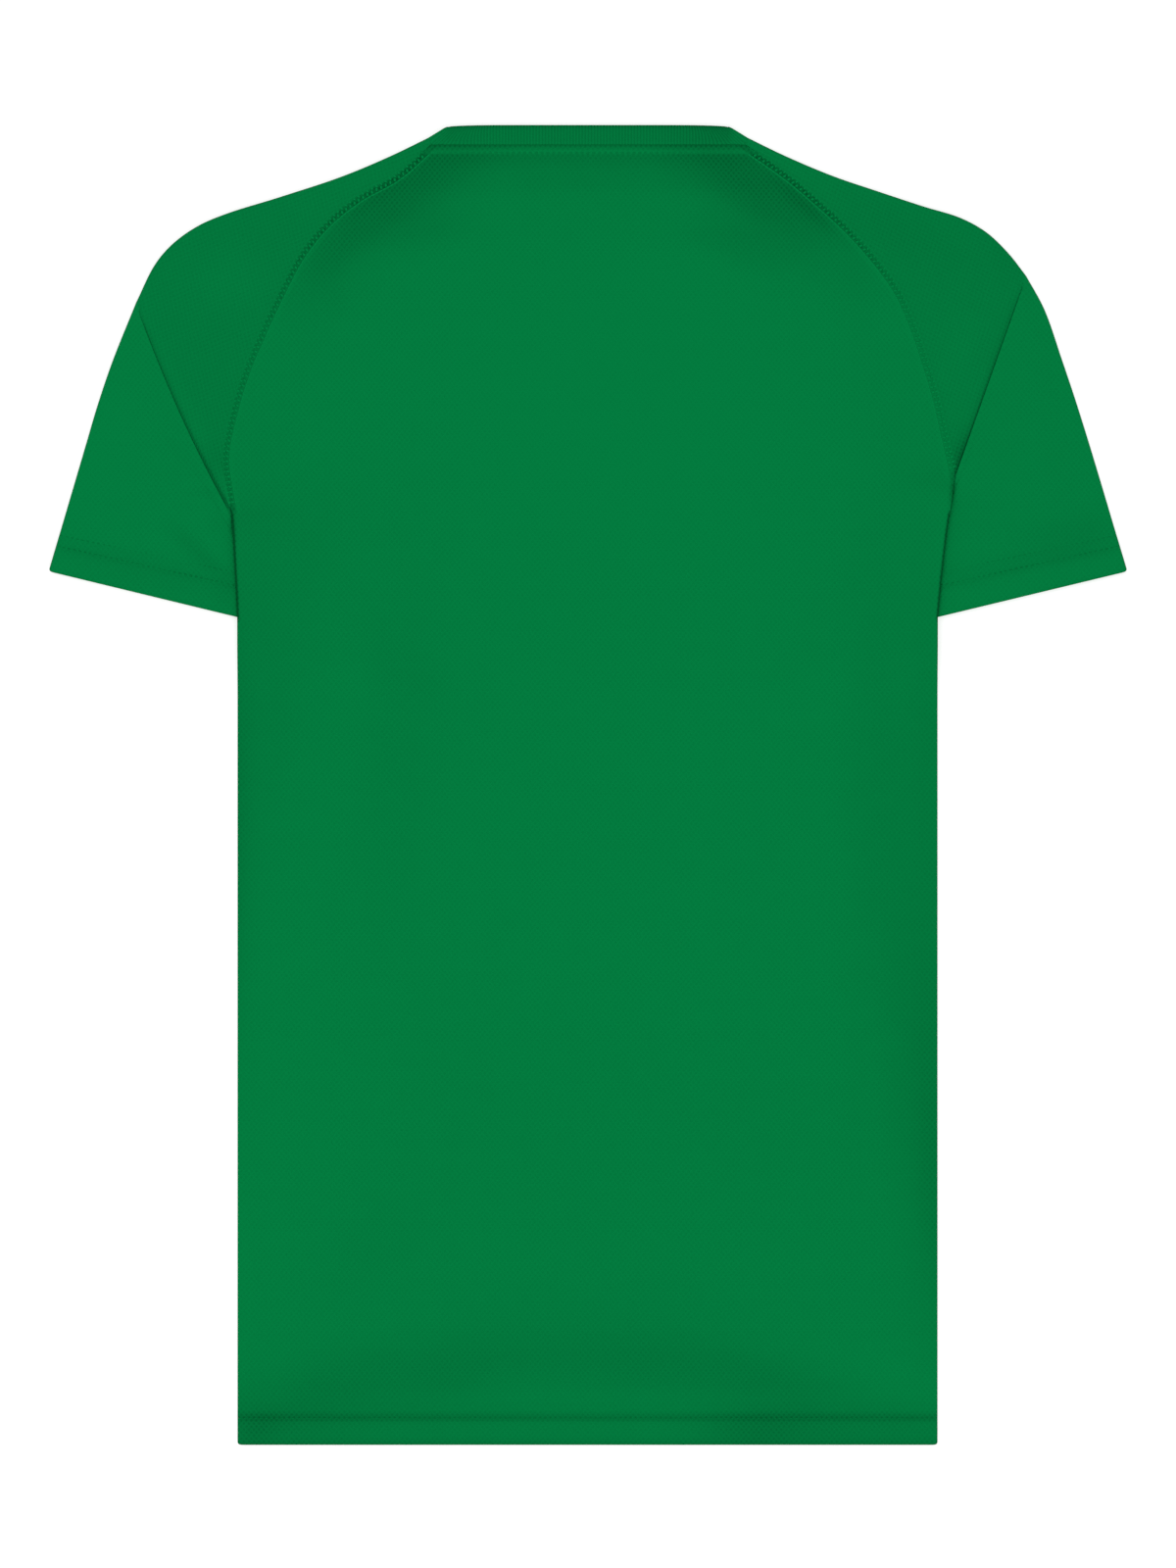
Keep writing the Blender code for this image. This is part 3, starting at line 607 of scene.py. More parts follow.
def new_piece(name, points, faces, uv=None, shade=None):
    """A smooth mesh object, with the cloth coordinates and the painted shade of its points."""
    mesh = bpy.data.meshes.new(name)
    mesh.from_pydata(points, [], faces)
    if uv is not None:
        corners = np.empty(len(mesh.loops), dtype=np.int32)
        mesh.loops.foreach_get("vertex_index", corners)
        layer = mesh.uv_layers.new(name="cloth")
        layer.data.foreach_set("uv", uv[corners].astype(np.float32).ravel())
    if shade is not None:
        mesh.attributes.new("shade", "FLOAT", "POINT").data.foreach_set("value", shade)
    mesh.shade_smooth()
    piece = bpy.data.objects.new(name, mesh)
    bpy.context.scene.collection.objects.link(piece)
    return piece


def shell(name, outer, inner, uv, shade, ring=False):
    """Close two grids of points, the two faces of a wall, into one thin solid."""
    rows, columns = outer.shape[:2]
    shift = rows * columns
    index = np.arange(shift).reshape(rows, columns)
    a, b = index, np.roll(index, -1, axis=0)
    if not ring:
        a, b = a[:-1], b[:-1]

    def quads(p, q, r, s):
        return np.stack([p, q, r, s], axis=-1).reshape(-1, 4)

    faces = [quads(a[:, :-1], b[:, :-1], b[:, 1:], a[:, 1:]),
             quads(a[:, :-1], a[:, 1:], b[:, 1:], b[:, :-1]) + shift,
             quads(a[:, 0], a[:, 0] + shift, b[:, 0] + shift, b[:, 0]),
             quads(a[:, -1], b[:, -1], b[:, -1] + shift, a[:, -1] + shift)]
    if not ring:
        first, last = index[0], index[-1]
        faces += [quads(first[:-1], first[1:], first[1:] + shift, first[:-1] + shift),
                  quads(last[:-1], last[:-1] + shift, last[1:] + shift, last[1:])]
    faces = np.concatenate(faces)
    points = np.concatenate([outer.reshape(-1, 3), inner.reshape(-1, 3)])
    volume = np.einsum("ij,ij->i", points[faces[:, 0]],
                       np.cross(points[faces[:, 1]], points[faces[:, 2]])
                       + np.cross(points[faces[:, 2]], points[faces[:, 3]])).sum()
    if volume < 0:
        faces = faces[:, ::-1]
    uv = np.concatenate([uv.reshape(-1, 2)] * 2)
    shade = np.concatenate([shade.ravel()] * 2)
    piece = new_piece(name, points, faces.tolist(), uv, shade)
    piece.data.set_sharp_from_angle(angle=math.radians(50))
    return piece


def lifted(spot, height):
    return np.concatenate([spot, np.broadcast_to(height, spot.shape[:-1])[..., None]], axis=-1)


def edge_drop(distance):
    """Rounding of cloth beside its edge."""
    share = np.clip(1 - distance / EDGE_ROUND, 0.0, 1.0)
    return EDGE_DROP * share ** 2


def hem_profile(distance):
    """Height that a turned and twice-stitched hem adds, by the distance from its edge."""
    inner = HEM_STITCH + HEM_STITCH_GAP
    start, fall = TURNED_END
    turned = TURNED_RAISE * (1 - smooth((distance - inner - start) / fall))
    turned = turned - HEM_DIP * bump_at(distance, HEM_STITCH, DIP_HALF)
    return turned - HEM_DIP_INNER * bump_at(distance, inner, DIP_HALF)


HEM_ROWS = (0.0, 0.0002, 0.0004, 0.0008, 0.0014, 0.0030, 0.0055, 0.0080, 0.0105, 0.0122, 0.0130,
            0.0136, 0.0140, 0.0144, 0.0148, 0.0152, 0.0158, 0.0168, 0.0182, 0.0190, 0.0196, 0.0200,
            0.0204, 0.0208, 0.0213, 0.0220, 0.0230, 0.0245)
NECK_ROWS = (0.0110, 0.0085, 0.0070, 0.0062, 0.0058, 0.0054, 0.0050, 0.0046, 0.0038, 0.0026,
             0.0016, 0.0010, 0.0006, 0.0003, 0.0)
SIDE_COLUMNS = (0.0, 0.0002, 0.0004, 0.0008, 0.0014, 0.0022, 0.0030, 0.0038, 0.0046, 0.0056,
                0.0070, 0.0090)
SPACING = 0.0031


def spaced(start, end, spacing):
    count = max(int(round(abs(end - start) / spacing)), 1)
    return list(np.linspace(start, end, count + 1)[1:-1])


def panel_shares():
    near = [distance / PANEL_WIDTH for distance in SIDE_COLUMNS]
    middle = spaced(near[-1], 1 - near[-1], SPACING / PANEL_WIDTH)
    return np.array(near + middle + [1 - share for share in reversed(near)])


def panel_edges(rows, raglans):
    edges = []
    for side, raglan in zip((LEFT, RIGHT), raglans):
        above = rows > side.armpit[1]
        edge = np.where(above, raglan.x_at(rows), side.body_side.x_at(rows))
        edges.append(edge - side.sign * corner_inset(rows - HEM_Y))
    return edges


def seam_distance(spot, rows, raglans):
    """Distance of each point of a panel from the raglan seam nearer to it, straight across it."""
    nearest = np.full(spot.shape[:-1], FAR)
    for side, raglan in zip((LEFT, RIGHT), raglans):
        place = raglan.distance_at(rows)
        lean = np.abs(raglan.heading(place)[:, 1])[:, None]
        away = np.abs(spot[..., 0] - raglan.x_at(rows)[:, None]) * lean
        nearest = np.minimum(nearest, np.where(rows[:, None] > side.armpit[1] - 0.002, away, FAR))
    return nearest


def build_back():
    edge = NECK_SEAM_Y - SEAM / 2
    rows = [HEM_Y + distance for distance in HEM_ROWS]
    rows += spaced(rows[-1], edge - NECK_ROWS[0], SPACING)
    rows = np.array(rows + [edge - distance for distance in NECK_ROWS])
    raglans = (LEFT.body_back, RIGHT.body_back)
    left, right = panel_edges(rows, raglans)
    x = mix(left[:, None], right[:, None], panel_shares())
    spot = np.stack([x, np.broadcast_to(rows[:, None], x.shape)], axis=-1)

    from_hem = rows[:, None] - HEM_Y
    from_neck = edge - rows[:, None]
    from_side = np.minimum(x - left[:, None], right[:, None] - x)
    from_seam = seam_distance(spot, rows, raglans)
    rise = BODY_RISE * np.maximum(LEFT.rise(spot), RIGHT.rise(spot))
    held_by = (from_hem, from_neck, from_side, from_seam)
    calm = free_share(held_by, LOFT_FREE)
    near = free_share(held_by, CREASE_FREE)
    loft = LOFT * calm + near * unevenness(spot, FINE_WAVES) + calm * unevenness(spot, WIDE_WAVES)
    loft = np.maximum(loft - near * relief(spot, BACK_CREASES), -SAG * near)
    inner = STEP + rise + loft
    outer = inner + CLOTH + hem_profile(from_hem) * smooth(from_side / HEM_SIDE_FADE)
    ridge = smooth(from_neck / RIDGE_START) * (1 - smooth((from_neck - NECK_RIDGE) / RIDGE_END))
    outer = outer + RIDGE_RAISE * ridge
    outer = outer - LADDER_DEPTH * seam_pull(spot) * bump_at(from_seam, LADDER_SHIFT, LADDER_HALF)
    outer = outer + BODY_RIDGE_RAISE * bump_at(from_seam, BODY_RIDGE, SEAM_RIDGE_HALF)
    outer = outer - edge_drop(np.minimum(from_hem, from_neck))
    at_raglan = from_seam < FAR
    outer = outer - edge_drop(from_side) * np.where(at_raglan, SEAM_DROP / EDGE_DROP, 1.0)

    # painted shade and light on the back: listed places, hem, neck, edges, beside the tucked
    # sleeves and the raglan seams
    shade = shade_of(spot, BACK_SHADES + ARMPIT_SHADES)
    shade += painted_shading(HEM_PAINTED_SHADE, from_hem) + painted_shading(NECK_PAINTED_SHADING, from_neck)
    shade += painted_shading(EDGE_PAINTED_SHADE, np.where(at_raglan, FAR, from_side))
    cuff_y, fade = BESIDE_SLEEVE_END
    beside_sleeve = smooth((rows[:, None] - cuff_y) / fade) * ~at_raglan
    shade += (painted_shading(BESIDE_SLEEVE_PAINTED_SHADE, from_side) * beside_sleeve
              * np.where(x > 0, BESIDE_SLEEVE_RIGHT, 1.0))
    shade += seam_painted_shading(BODY_SEAM_PAINTED_SHADING, from_seam, spot) * smooth(from_neck / NECK_FADE)
    return shell("back_panel", lifted(spot, outer), lifted(spot, inner), spot, shade)


def build_front():
    rows = [HEM_Y + distance for distance in HEM_ROWS]
    rows += spaced(rows[-1], FRONT_STRAIGHT_Y, SPACING) + [FRONT_STRAIGHT_Y]
    corner_y = neck_curve(NECK_ARC_END, SEAM / 2)[1]
    rows = np.array(rows + spaced(FRONT_STRAIGHT_Y, corner_y, SPACING) + [corner_y])
    raglans = (LEFT.body_front, RIGHT.body_front)
    left, right = panel_edges(rows, raglans)
    shares = panel_shares()
    x = mix(left[:, None], right[:, None], shares)
    reach = np.clip(rows - FRONT_STRAIGHT_Y, 0.0, None)[:, None] / (corner_y - FRONT_STRAIGHT_Y)
    angle = np.arccos(mix(left[-1], right[-1], shares) / NECK_WIDEST)
    sag = (corner_y - neck_curve(angle, SEAM / 2)[:, 1]) * reach ** 2
    spot = np.stack([x, rows[:, None] - sag], axis=-1)

    from_side = np.minimum(x - left[:, None], right[:, None] - x)
    from_hem = rows[:, None] - HEM_Y
    from_top = corner_y - rows[:, None]
    rise = BODY_RISE * np.maximum(LEFT.rise(spot), RIGHT.rise(spot))
    near = free_share((from_hem, from_top, from_side), FRONT_FREE)
    lift = np.maximum(-relief(spot, FRONT_CREASES) * near, 0.0)
    low = rise + lift - FRONT_HEM_DIP * np.minimum(hem_profile(from_hem), 0.0)
    low = low + SEAM_DROP * smooth(1 - np.minimum(from_side, from_top) / EDGE_ROUND)
    high = rise + lift + CLOTH - edge_drop(from_side) / 2
    # painted shade on the front, the side that lies down
    shade = (painted_shading(HEM_PAINTED_SHADE, from_hem) + painted_shading(EDGE_PAINTED_SHADE, from_side)
             + FRONT_NECK_PAINTED_SHADING * painted_shading(NECK_PAINTED_SHADING, from_top)
             + painted_shading(BODY_SEAM_PAINTED_SHADING, seam_distance(spot, rows, raglans))
             + shade_of(spot, FRONT_SHADES))
    return shell("front_panel", lifted(spot, high), lifted(spot, low), spot, shade)


SleeveRow = namedtuple("SleeveRow", "fold normal back front bow arc lower from_cuff from_fold")
SEAM_COLUMNS = np.array((0.0, 0.3, 0.7, 1.2, 1.8, 2.4, 3.0, 3.7, 4.6, 5.8)) / 1000
EDGE_COLUMNS = np.array((-0.6, 0.0, 0.4, 0.8, 1.2, 1.6, 2.1, 2.7, 3.5, 4.6, 6.0)) / 1000
FAR_COLUMNS = 28
UNDER_SHARES = np.array((0.0, 3, 8, 14, 21, 29, 37, 45, 53, 61, 69, 76, 82, 87, 91, 94, 96, 97.3,
                         98.2, 98.9, 99.5, 100)) / 100
SHOULDER_TURNS = np.arange(15, 180, 15)
FOLD_ROWS = np.array((9.0, 6.5, 4.8, 3.6, 2.6, 1.8, 1.2, 0.7, 0.3, 0.0)) / 1000
UPPER_ROWS = 92 + len(FOLD_ROWS)
LOWER_ROWS = 44
FOLD_TURNS = ("slit", "under", *range(-90, 91, 20))     # rows round the fold's edge, in degrees
TURN_STEP = 0.0002      # between them, unfolded
MIRROR_REACH = 0.030    # how far from the fold the underside's knit turns
SEAM_COLUMNS_SHARE = 0.4        # of a short row, at most, for the columns beside the seam
BODY_EDGE_START = (0.002, 0.005)        # past the armpit, the fine columns follow the body's edge


def upper_sleeve_rows(side):
    seam, shoulder, rows = side.sleeve_back, side.shoulder, []
    near_fold = 1 - FOLD_ROWS / seam.length
    shares = np.linspace(0.0, 2 * near_fold[0] - near_fold[1], UPPER_ROWS - len(near_fold))
    for share in np.concatenate([shares, near_fold]):
        on_shoulder = share * shoulder.length
        rows.append(SleeveRow(
            fold=shoulder.along(on_shoulder),
            normal=turned_left(shoulder.heading(on_shoulder)) * side.sign,
            back=seam.along(share * seam.length),
            front=side.sleeve_front.along(share * side.sleeve_front.length),
            bow=share ** 2, arc=(1 - share) ** 4, lower=False, from_cuff=FAR,
            from_fold=(1 - share) * seam.length))
    return rows


def lower_row(side, on_top, on_underarm, from_cuff=FAR, from_fold=0.0):
    if on_underarm <= ARMPIT_SLOPE:
        end = side.beside_body.along(on_underarm)
    else:
        end = side.underarm.along(on_underarm - ARMPIT_SLOPE)
    start = side.sleeve_top.along(on_top)
    inset = corner_inset(from_cuff) * (end - start) / np.linalg.norm(end - start)
    return SleeveRow(fold=start + inset,
                     normal=turned_left(side.sleeve_top.heading(on_top)) * side.sign,
                     back=end, front=end, bow=(1 - on_top / side.sleeve_top.length) ** 2, arc=0.0,
                     lower=True, from_cuff=from_cuff, from_fold=from_fold)


def fold_slant(side):
    top = abs(side.sleeve_top.heading(0.002) @ side.fold_normal)
    underarm = abs(side.beside_body.heading(0.002) @ side.fold_normal)
    return 1 / top, 1 / underarm


def lower_sleeve_rows(side):
    top_slant, underarm_slant = fold_slant(side)
    tuck_on_top = ARMPIT_SLOPE * top_slant / underarm_slant
    end_on_top, end_on_underarm = side.sleeve_top.length, ARMPIT_SLOPE + side.underarm.length
    lean = abs(side.underarm.heading(0.01) @ side.cuff_normal)
    band = HEM_ROWS[-1]
    past_turn = np.linspace(len(FOLD_TURNS) * TURN_STEP, ARMPIT_SLOPE / underarm_slant, 5)[1:4]
    rows = [lower_row(side, flat * top_slant, flat * underarm_slant, from_fold=flat)
            for flat in past_turn]
    band_on_underarm = end_on_underarm - band * CUFF_SPREAD / lean
    for step in range(LOWER_ROWS):
        share = step / LOWER_ROWS
        on_top = mix(tuck_on_top, end_on_top - band, share)
        rows.append(lower_row(side, on_top, mix(ARMPIT_SLOPE, band_on_underarm, share),
                              from_fold=on_top / top_slant, from_cuff=end_on_top - on_top))
    for inward in reversed(HEM_ROWS):
        rows.append(lower_row(side, end_on_top - inward,
                              end_on_underarm - inward * CUFF_SPREAD / lean,
                              from_cuff=inward, from_fold=FAR))
    return rows


def mirrored(spot, line_point, normal):
    """Points of the lower layer, unfolded about the shoulder fold."""
    return spot - 2 * ((spot - line_point) @ normal)[..., None] * normal


def turned_uv(uv, degrees):
    turn = np.radians(degrees)
    x, y = uv[..., 0], uv[..., 1]
    return np.stack([x * np.cos(turn) + y * np.sin(turn),
                     y * np.cos(turn) - x * np.sin(turn)], axis=-1)


def cuff_painted_shading(row):
    spread = 1.0 if row.from_cuff == FAR else mix(1.0, CUFF_SPREAD, 0.4)
    return painted_shading(CUFF_PAINTED_SHADE, row.from_cuff / spread)


def sleeve_columns(side, row, start, length):
    """Places along a row, from its seam end, finest beside the seam or the body's edge."""
    shrink = min(1.0, SEAM_COLUMNS_SHARE * length / SEAM_COLUMNS[-1])
    near = SEAM_COLUMNS * shrink
    rest = np.linspace(near[-1], length, len(EDGE_COLUMNS) + FAR_COLUMNS + 1)[1:]
    away = np.concatenate([near, rest])
    if not row.lower:
        return away, shrink
    tries = np.linspace(0.0, length, 400)
    spot = mix(row.back, start, (tries / length)[:, None])
    outside = (spot[:, 0] - side.body_side.x_at(spot[:, 1])) * side.sign
    crossing = np.interp(0.0, outside, tries)
    edge = np.maximum(crossing, 0.001) + EDGE_COLUMNS
    beyond = np.linspace(edge[-1], length, FAR_COLUMNS + 1)[1:]
    under_body = np.concatenate([np.linspace(0.0, edge[0], len(near) + 1)[:-1], edge, beyond])
    past, reach = BODY_EDGE_START
    return mix(away, under_body, smooth((crossing - past) / reach)), shrink


def turned_face(side, spot, share, pile, height, fold_turn, flat):
    """One row round the turned-down fold's edge: its points, their heights and their painted shade.
    """
    opened = smooth(pile / SLIT_OPEN) * smooth((1 - share) / SLIT_CLOSE)
    low, high = height + GAP * pile, height + FOLD_LIFT * pile
    middle, half = (low + high) / 2, (high - low) / 2
    if fold_turn in ("slit", "under"):
        degrees, reach = -90, FOLD_DEPTH * pile ** 3
        top = low if fold_turn == "under" else np.full(share.shape, height)
    else:
        degrees, turn = fold_turn, math.radians(fold_turn)
        reach, top = half * (1 - math.cos(turn)), middle + half * math.sin(turn)
    face = spot + side.fold_normal * (opened * (reach + FOLD_BACK[side.sign] - flat))[:, None]
    return face, top, SLIT_PAINTED_SHADE * opened * pile * (1 - smooth((degrees - 10) / 70))


def upper_face(side, row, spot, away, shrink, bow):
    """How far the raglan seam lowers and raises the upper sleeve, and the painted shading beside
    the seam and beside the fold.
    """
    rise = -SLEEVE_LADDER_DEPTH * seam_pull(spot) * bump_at(away, 0.0, SLEEVE_LADDER_HALF)
    rise = rise + (BODY_RIDGE_RAISE * bump_at(away / shrink, SLEEVE_RIDGE, SEAM_RIDGE_HALF)
                   * smooth(row.from_fold / SLEEVE_RIDGE_FADE))
    rise = rise - SEAM_DROP * smooth(1 - away / SLEEVE_SEAM_ROUND)
    on_fold = (spot - side.pivot) @ side.fold
    bowed = bow * np.sin(math.pi * np.clip(on_fold / side.fold_length, 0.0, 1.0))
    from_edge = bowed + FOLD_BACK[side.sign] - (spot - side.pivot) @ side.fold_normal
    growth = mix(FOLD_PAINTED_SHADING_START, 1.0, smooth(on_fold / FOLD_PAINTED_SHADING_REACH))
    beside_fold = painted_shading(FOLD_PAINTED_SHADING[side.sign], from_edge) * growth
    return rise, seam_painted_shading(SLEEVE_SEAM_PAINTED_SHADING, away / shrink, spot), beside_fold


def lower_painted_shading(side, spot):
    """Painted shade on the lower sleeve, deepest beside the body, and a little painted light."""
    beside = (spot[:, 0] - side.body_side.x_at(spot[:, 1])) * side.sign
    below = smooth(1 + (side.armpit[1] - spot[:, 1]) / UNDERARM_FADE)
    return painted_shading(UNDERARM_PAINTED_SHADE, beside) * below + shade_of(spot, LOWER_SLEEVE_SHADES + ARMPIT_SHADES)


def sleeve_underside(side, row, start, radius, low_inside):
    """The shoulder fold and the layer that lies down: outer, inner and cloth points, painted shade.
    """
    outer, inner, uv = [], [], []
    for angle in np.radians(SHOULDER_TURNS):
        for wall, size, lowest in ((outer, radius, 0.0), (inner, GAP / 2, low_inside)):
            spot = start + row.normal * size * math.sin(angle)
            wall.append([[*spot, lowest + size * (1 + math.cos(angle))]])
        uv.append([start + row.normal * radius * angle])
    under = UNDER_SHARES
    arc = neck_curve(NECK_ARC_END * under, SEAM / 2)
    bulge = (arc - mix(arc[0], arc[-1], under[:, None])) * row.arc * np.array((side.sign, 1.0))
    spot = mix(start, row.front, under[:, None]) + bulge
    mirror = mix(row.normal, side.over_normal, smooth(1 - row.from_fold / MIRROR_REACH))
    mirror = mirror / np.linalg.norm(mirror)
    outer.append(lifted(spot, 0.0))
    inner.append(lifted(spot, low_inside))
    uv.append(mirrored(spot, start, mirror) + row.normal * radius * math.pi)
    hidden = np.full(under.shape, cuff_painted_shading(row))
    if not row.lower:
        hidden += painted_shading(BODY_SEAM_PAINTED_SHADING, (1 - under) * np.linalg.norm(start - row.front))
    rounded = hidden[0] + SLEEVE_EDGE_PAINTED_SHADE * smooth((SHOULDER_TURNS - 20) / 40)
    return outer, inner, uv, np.concatenate([rounded, hidden])


def sleeve_section(side, row, grains, creases, fold_turn=None, flat=0.0):
    """Outer and inner points of one row: upper layer, shoulder fold, lower layer."""
    turned = TURNED_RAISE * (1 - smooth((row.from_cuff - HEM_STITCH - DIP_HALF) / CUFF_TURNED_FALL))
    low_inside, top_inside = CLOTH + turned, STEP + turned
    height = 2 * CLOTH + GAP + 2 * turned
    radius = height / 2
    start = row.fold - row.normal * radius
    bow = FOLD_BOW * row.bow if side is LEFT else 0.0
    length = np.linalg.norm(row.back - start)
    away, shrink = sleeve_columns(side, row, start, length)
    share = 1 - away / length
    spot = (mix(start, row.back, share[:, None])
            + side.fold_normal * bow * np.sin(math.pi * share)[:, None])
    from_ends = np.minimum(away, share * length)
    top = np.full(share.shape, height - turned) + hem_profile(row.from_cuff)
    face = spot
    pile = side.pile(spot - side.fold_normal * flat, share * length)
    calm = smooth(from_ends / SLEEVE_EDGE_CALM)
    if fold_turn is not None:
        face, top, shade = turned_face(side, spot, share, pile, height, fold_turn, flat)
    elif row.lower:
        calm = calm * free_share((row.from_fold, row.from_cuff), LOWER_FREE)
        top = top - calm * (relief(spot, creases) - unevenness(spot, LOWER_WAVES))
        top = top + pile * FOLD_LIFT + SLEEVE_LOFT * free_share(
            (from_ends, row.from_fold, row.from_cuff), LOWER_LOFT_FREE)
        shade = np.zeros(share.shape)
    else:
        calm = calm * free_share((row.from_fold,), UPPER_FREE)
        rise, beside_seam, beside_fold = upper_face(side, row, spot, away, shrink, bow)
        top = top + rise - calm * (relief(spot, creases) - unevenness(spot, UPPER_WAVES))
        # painted shade beside the raglan seam and beside the fold, and at listed places
        shade = beside_seam + beside_fold * smooth(pile * 3) + shade_of(spot, UPPER_SLEEVE_SHADES)
    if row.lower:
        shade += lower_painted_shading(side, spot)
    shade += cuff_painted_shading(row)
    outer, inner, uv, under_shade = sleeve_underside(side, row, start, radius, low_inside)
    to_lower = np.ones(UNDER_SHARES.shape)
    if not row.lower:
        to_lower = smooth(math.sqrt(row.bow)) * smooth(UNDER_SHARES * 3)
    shown = np.full(len(away) + len(SHOULDER_TURNS), grains[1] if row.lower else grains[0])
    grain = np.concatenate([shown, mix(grains[0], grains[1], to_lower)])
    return (np.concatenate([lifted(face, top), *outer]),
            np.concatenate([lifted(spot, top_inside), *inner]),
            turned_uv(np.concatenate([spot, *uv]) - side.pivot, grain),
            np.concatenate([shade, under_shade]))


def build_sleeve(name, side, upper_creases, lower_creases, grains, shades):
    """Grains are the turns of the knit in the upper and in the lower sleeve, in degrees; shades are
    painted shade over all of the upper and of the lower sleeve.
    """
    top_slant, underarm_slant = fold_slant(side)
    sections = [sleeve_section(side, row, grains, upper_creases)
                for row in upper_sleeve_rows(side)]
    for step, turn in enumerate(FOLD_TURNS):
        flat = TURN_STEP * (step + 1)
        row = lower_row(side, flat * top_slant, flat * underarm_slant)
        sections.append(sleeve_section(side, row, grains, lower_creases, turn, flat))
    sections += [sleeve_section(side, row, grains, lower_creases)
                 for row in lower_sleeve_rows(side)]
    outer, inner, uv, shade = (np.array([section[part] for section in sections])
                               for part in range(4))
    # painted shade over the whole upper and lower sleeve
    shade[:UPPER_ROWS] += shades[0]
    shade[UPPER_ROWS:] += shades[1]
    return shell(name, outer, inner, uv, shade)


BandStation = namedtuple("BandStation", "free seam turn side")
BACK_STEPS = 90
FRONT_STEPS = 110
TURNS = range(0, 181, 15)
RIB_WIDTH = 0.00167
RIB_ROW = 0.0009                # height of a row of its loops
RIBS_TURN = (0.055, 0.024)      # where the upright ribs start to lean, and over what distance
# Painted shade on the neckband, more towards its sides, fading at the ends of its back part
BAND_SHADE = 0.03
BAND_SIDE_SHADES = ((1, 0.15, 0.028, 0.045), (-1, 0.05, 0.045, 0.030))      # right and left
BAND_SHADE_END = (0.076, 0.004)
BAND_SHARES = np.array((0.0, 0.02, 0.05, 0.10, 0.20, 0.35, 0.50, 0.65, 0.80, 0.90, 0.95, 0.98, 1.0))


def band_stations():
    stations = []
    for step in range(BACK_STEPS + 1):
        across = 2 * step / BACK_STEPS - 1
        stations.append(BandStation(np.array((BAND_CORNER_X * across,
                                              TOP_Y - BAND_FALL * abs(across) ** 8)),
                                    np.array(((NECK_SEAM_X - SEAM) * across,
                                              NECK_SEAM_Y + SEAM / 2)), 0, 0))
    corners = [(NECK_FOLD_FREE + NECK_FOLD_FILL * max(math.cos(math.radians(turn)), 0.0) ** 3, turn)
               for turn in TURNS]
    stations += [BandStation(free, NECK_FOLD_SEAM, turn, 1) for free, turn in corners]
    free_depth = NECK_FOLD_FREE[1] - NECK_FOLD_SEAM[1] + SCOOP_DEPTH - BAND_WIDTH
    for step in range(1, FRONT_STEPS):
        angle = math.pi * step / FRONT_STEPS
        free = np.array((NECK_FOLD_FREE[0] * math.cos(angle),
                         NECK_FOLD_FREE[1] - free_depth * math.sin(angle)))
        stations.append(BandStation(free, neck_curve(angle, -SEAM / 2), 180, 0))
    stations += [BandStation(free, NECK_FOLD_SEAM, turn, -1) for free, turn in reversed(corners)]
    return stations


def carry_pattern_round(piece, stations, columns, round_trip):
    """Let the ribs run on across the faces that close the ring."""
    layer = piece.data.uv_layers["cloth"].data
    for face in piece.data.polygons:
        place = [corner // columns % stations for corner in face.vertices]
        if max(place) - min(place) > 1:
            for loop, station in zip(face.loop_indices, place):
                layer[loop].uv.x += round_trip if station == 0 else 0.0


def build_neckband():
    outer_radius, inner_radius = (STEP + RIB) / 2, GAP / 2
    fold = NECK_FOLD_SEAM - NECK_FOLD_FREE
    outwards = turned_left(fold / np.linalg.norm(fold))
    share = BAND_SHARES[:, None]
    walls = []
    for radius, middle in ((outer_radius, outer_radius), (inner_radius, CLOTH + GAP / 2)):
        rows = []
        for station in band_stations():
            turn = math.radians(station.turn)
            spot = mix(station.free, station.seam, share * BAND_REACH)
            if station.side:
                spot = spot + outwards * (radius * math.sin(turn) - outer_radius)
                spot = spot * np.array((station.side, 1.0))
            height = np.full(len(BAND_SHARES), middle + radius * math.cos(turn))
            if radius == outer_radius:
                face = max(math.cos(turn), 0.0)
                across = BAND_SHARES
                height += face * BAND_DOME * (1 - (2 * across - 1) ** 2)
                for from_edge, (drop, reach) in zip((across, 1 - across), BAND_EDGES):
                    height -= face * drop * np.maximum(1 - from_edge / reach, 0.0) ** 2
            rows.append(lifted(spot, height))
        walls.append(np.array(rows))
    middle_line = walls[0][:, len(BAND_SHARES) // 2]
    spans = np.linalg.norm(np.diff(middle_line, axis=0, append=middle_line[:1]), axis=1)
    round_trip = round(spans.sum() / RIB_WIDTH) * RIB_WIDTH
    along = np.concatenate([[0.0], np.cumsum(spans[:-1])])[:, None] * round_trip / spans.sum()
    from_middle = np.abs(middle_line[:, :1])
    start, reach = RIBS_TURN
    upright = (middle_line[:, 2:] > STEP) * (1 - smooth((from_middle - start) / reach))
    along = along + upright * (walls[0][..., 0] - middle_line[:, :1])
    uv = np.stack(np.broadcast_arrays(along, BAND_SHARES * BAND_WIDTH), axis=-1)
    # painted shade over the band and along its edges
    place = walls[0][..., 0] * (walls[0][..., 2] > STEP)
    shade = BAND_SHADE
    for sign, amount, start, reach in BAND_SIDE_SHADES:
        shade = shade + amount * smooth((sign * place - start) / reach)
    start, reach = BAND_SHADE_END
    shade = shade * (1 - smooth((np.abs(place) - start) / reach))
    on_back = smooth((walls[0][..., 2] - STEP) / CLOTH)
    shade = shade + on_back * painted_shading(BAND_PAINTED_SHADING, BAND_SHARES * BAND_WIDTH)
    piece = shell("neck_rib", *walls, uv, shade, ring=True)
    carry_pattern_round(piece, len(walls[0]), len(BAND_SHARES), round_trip)
    return piece


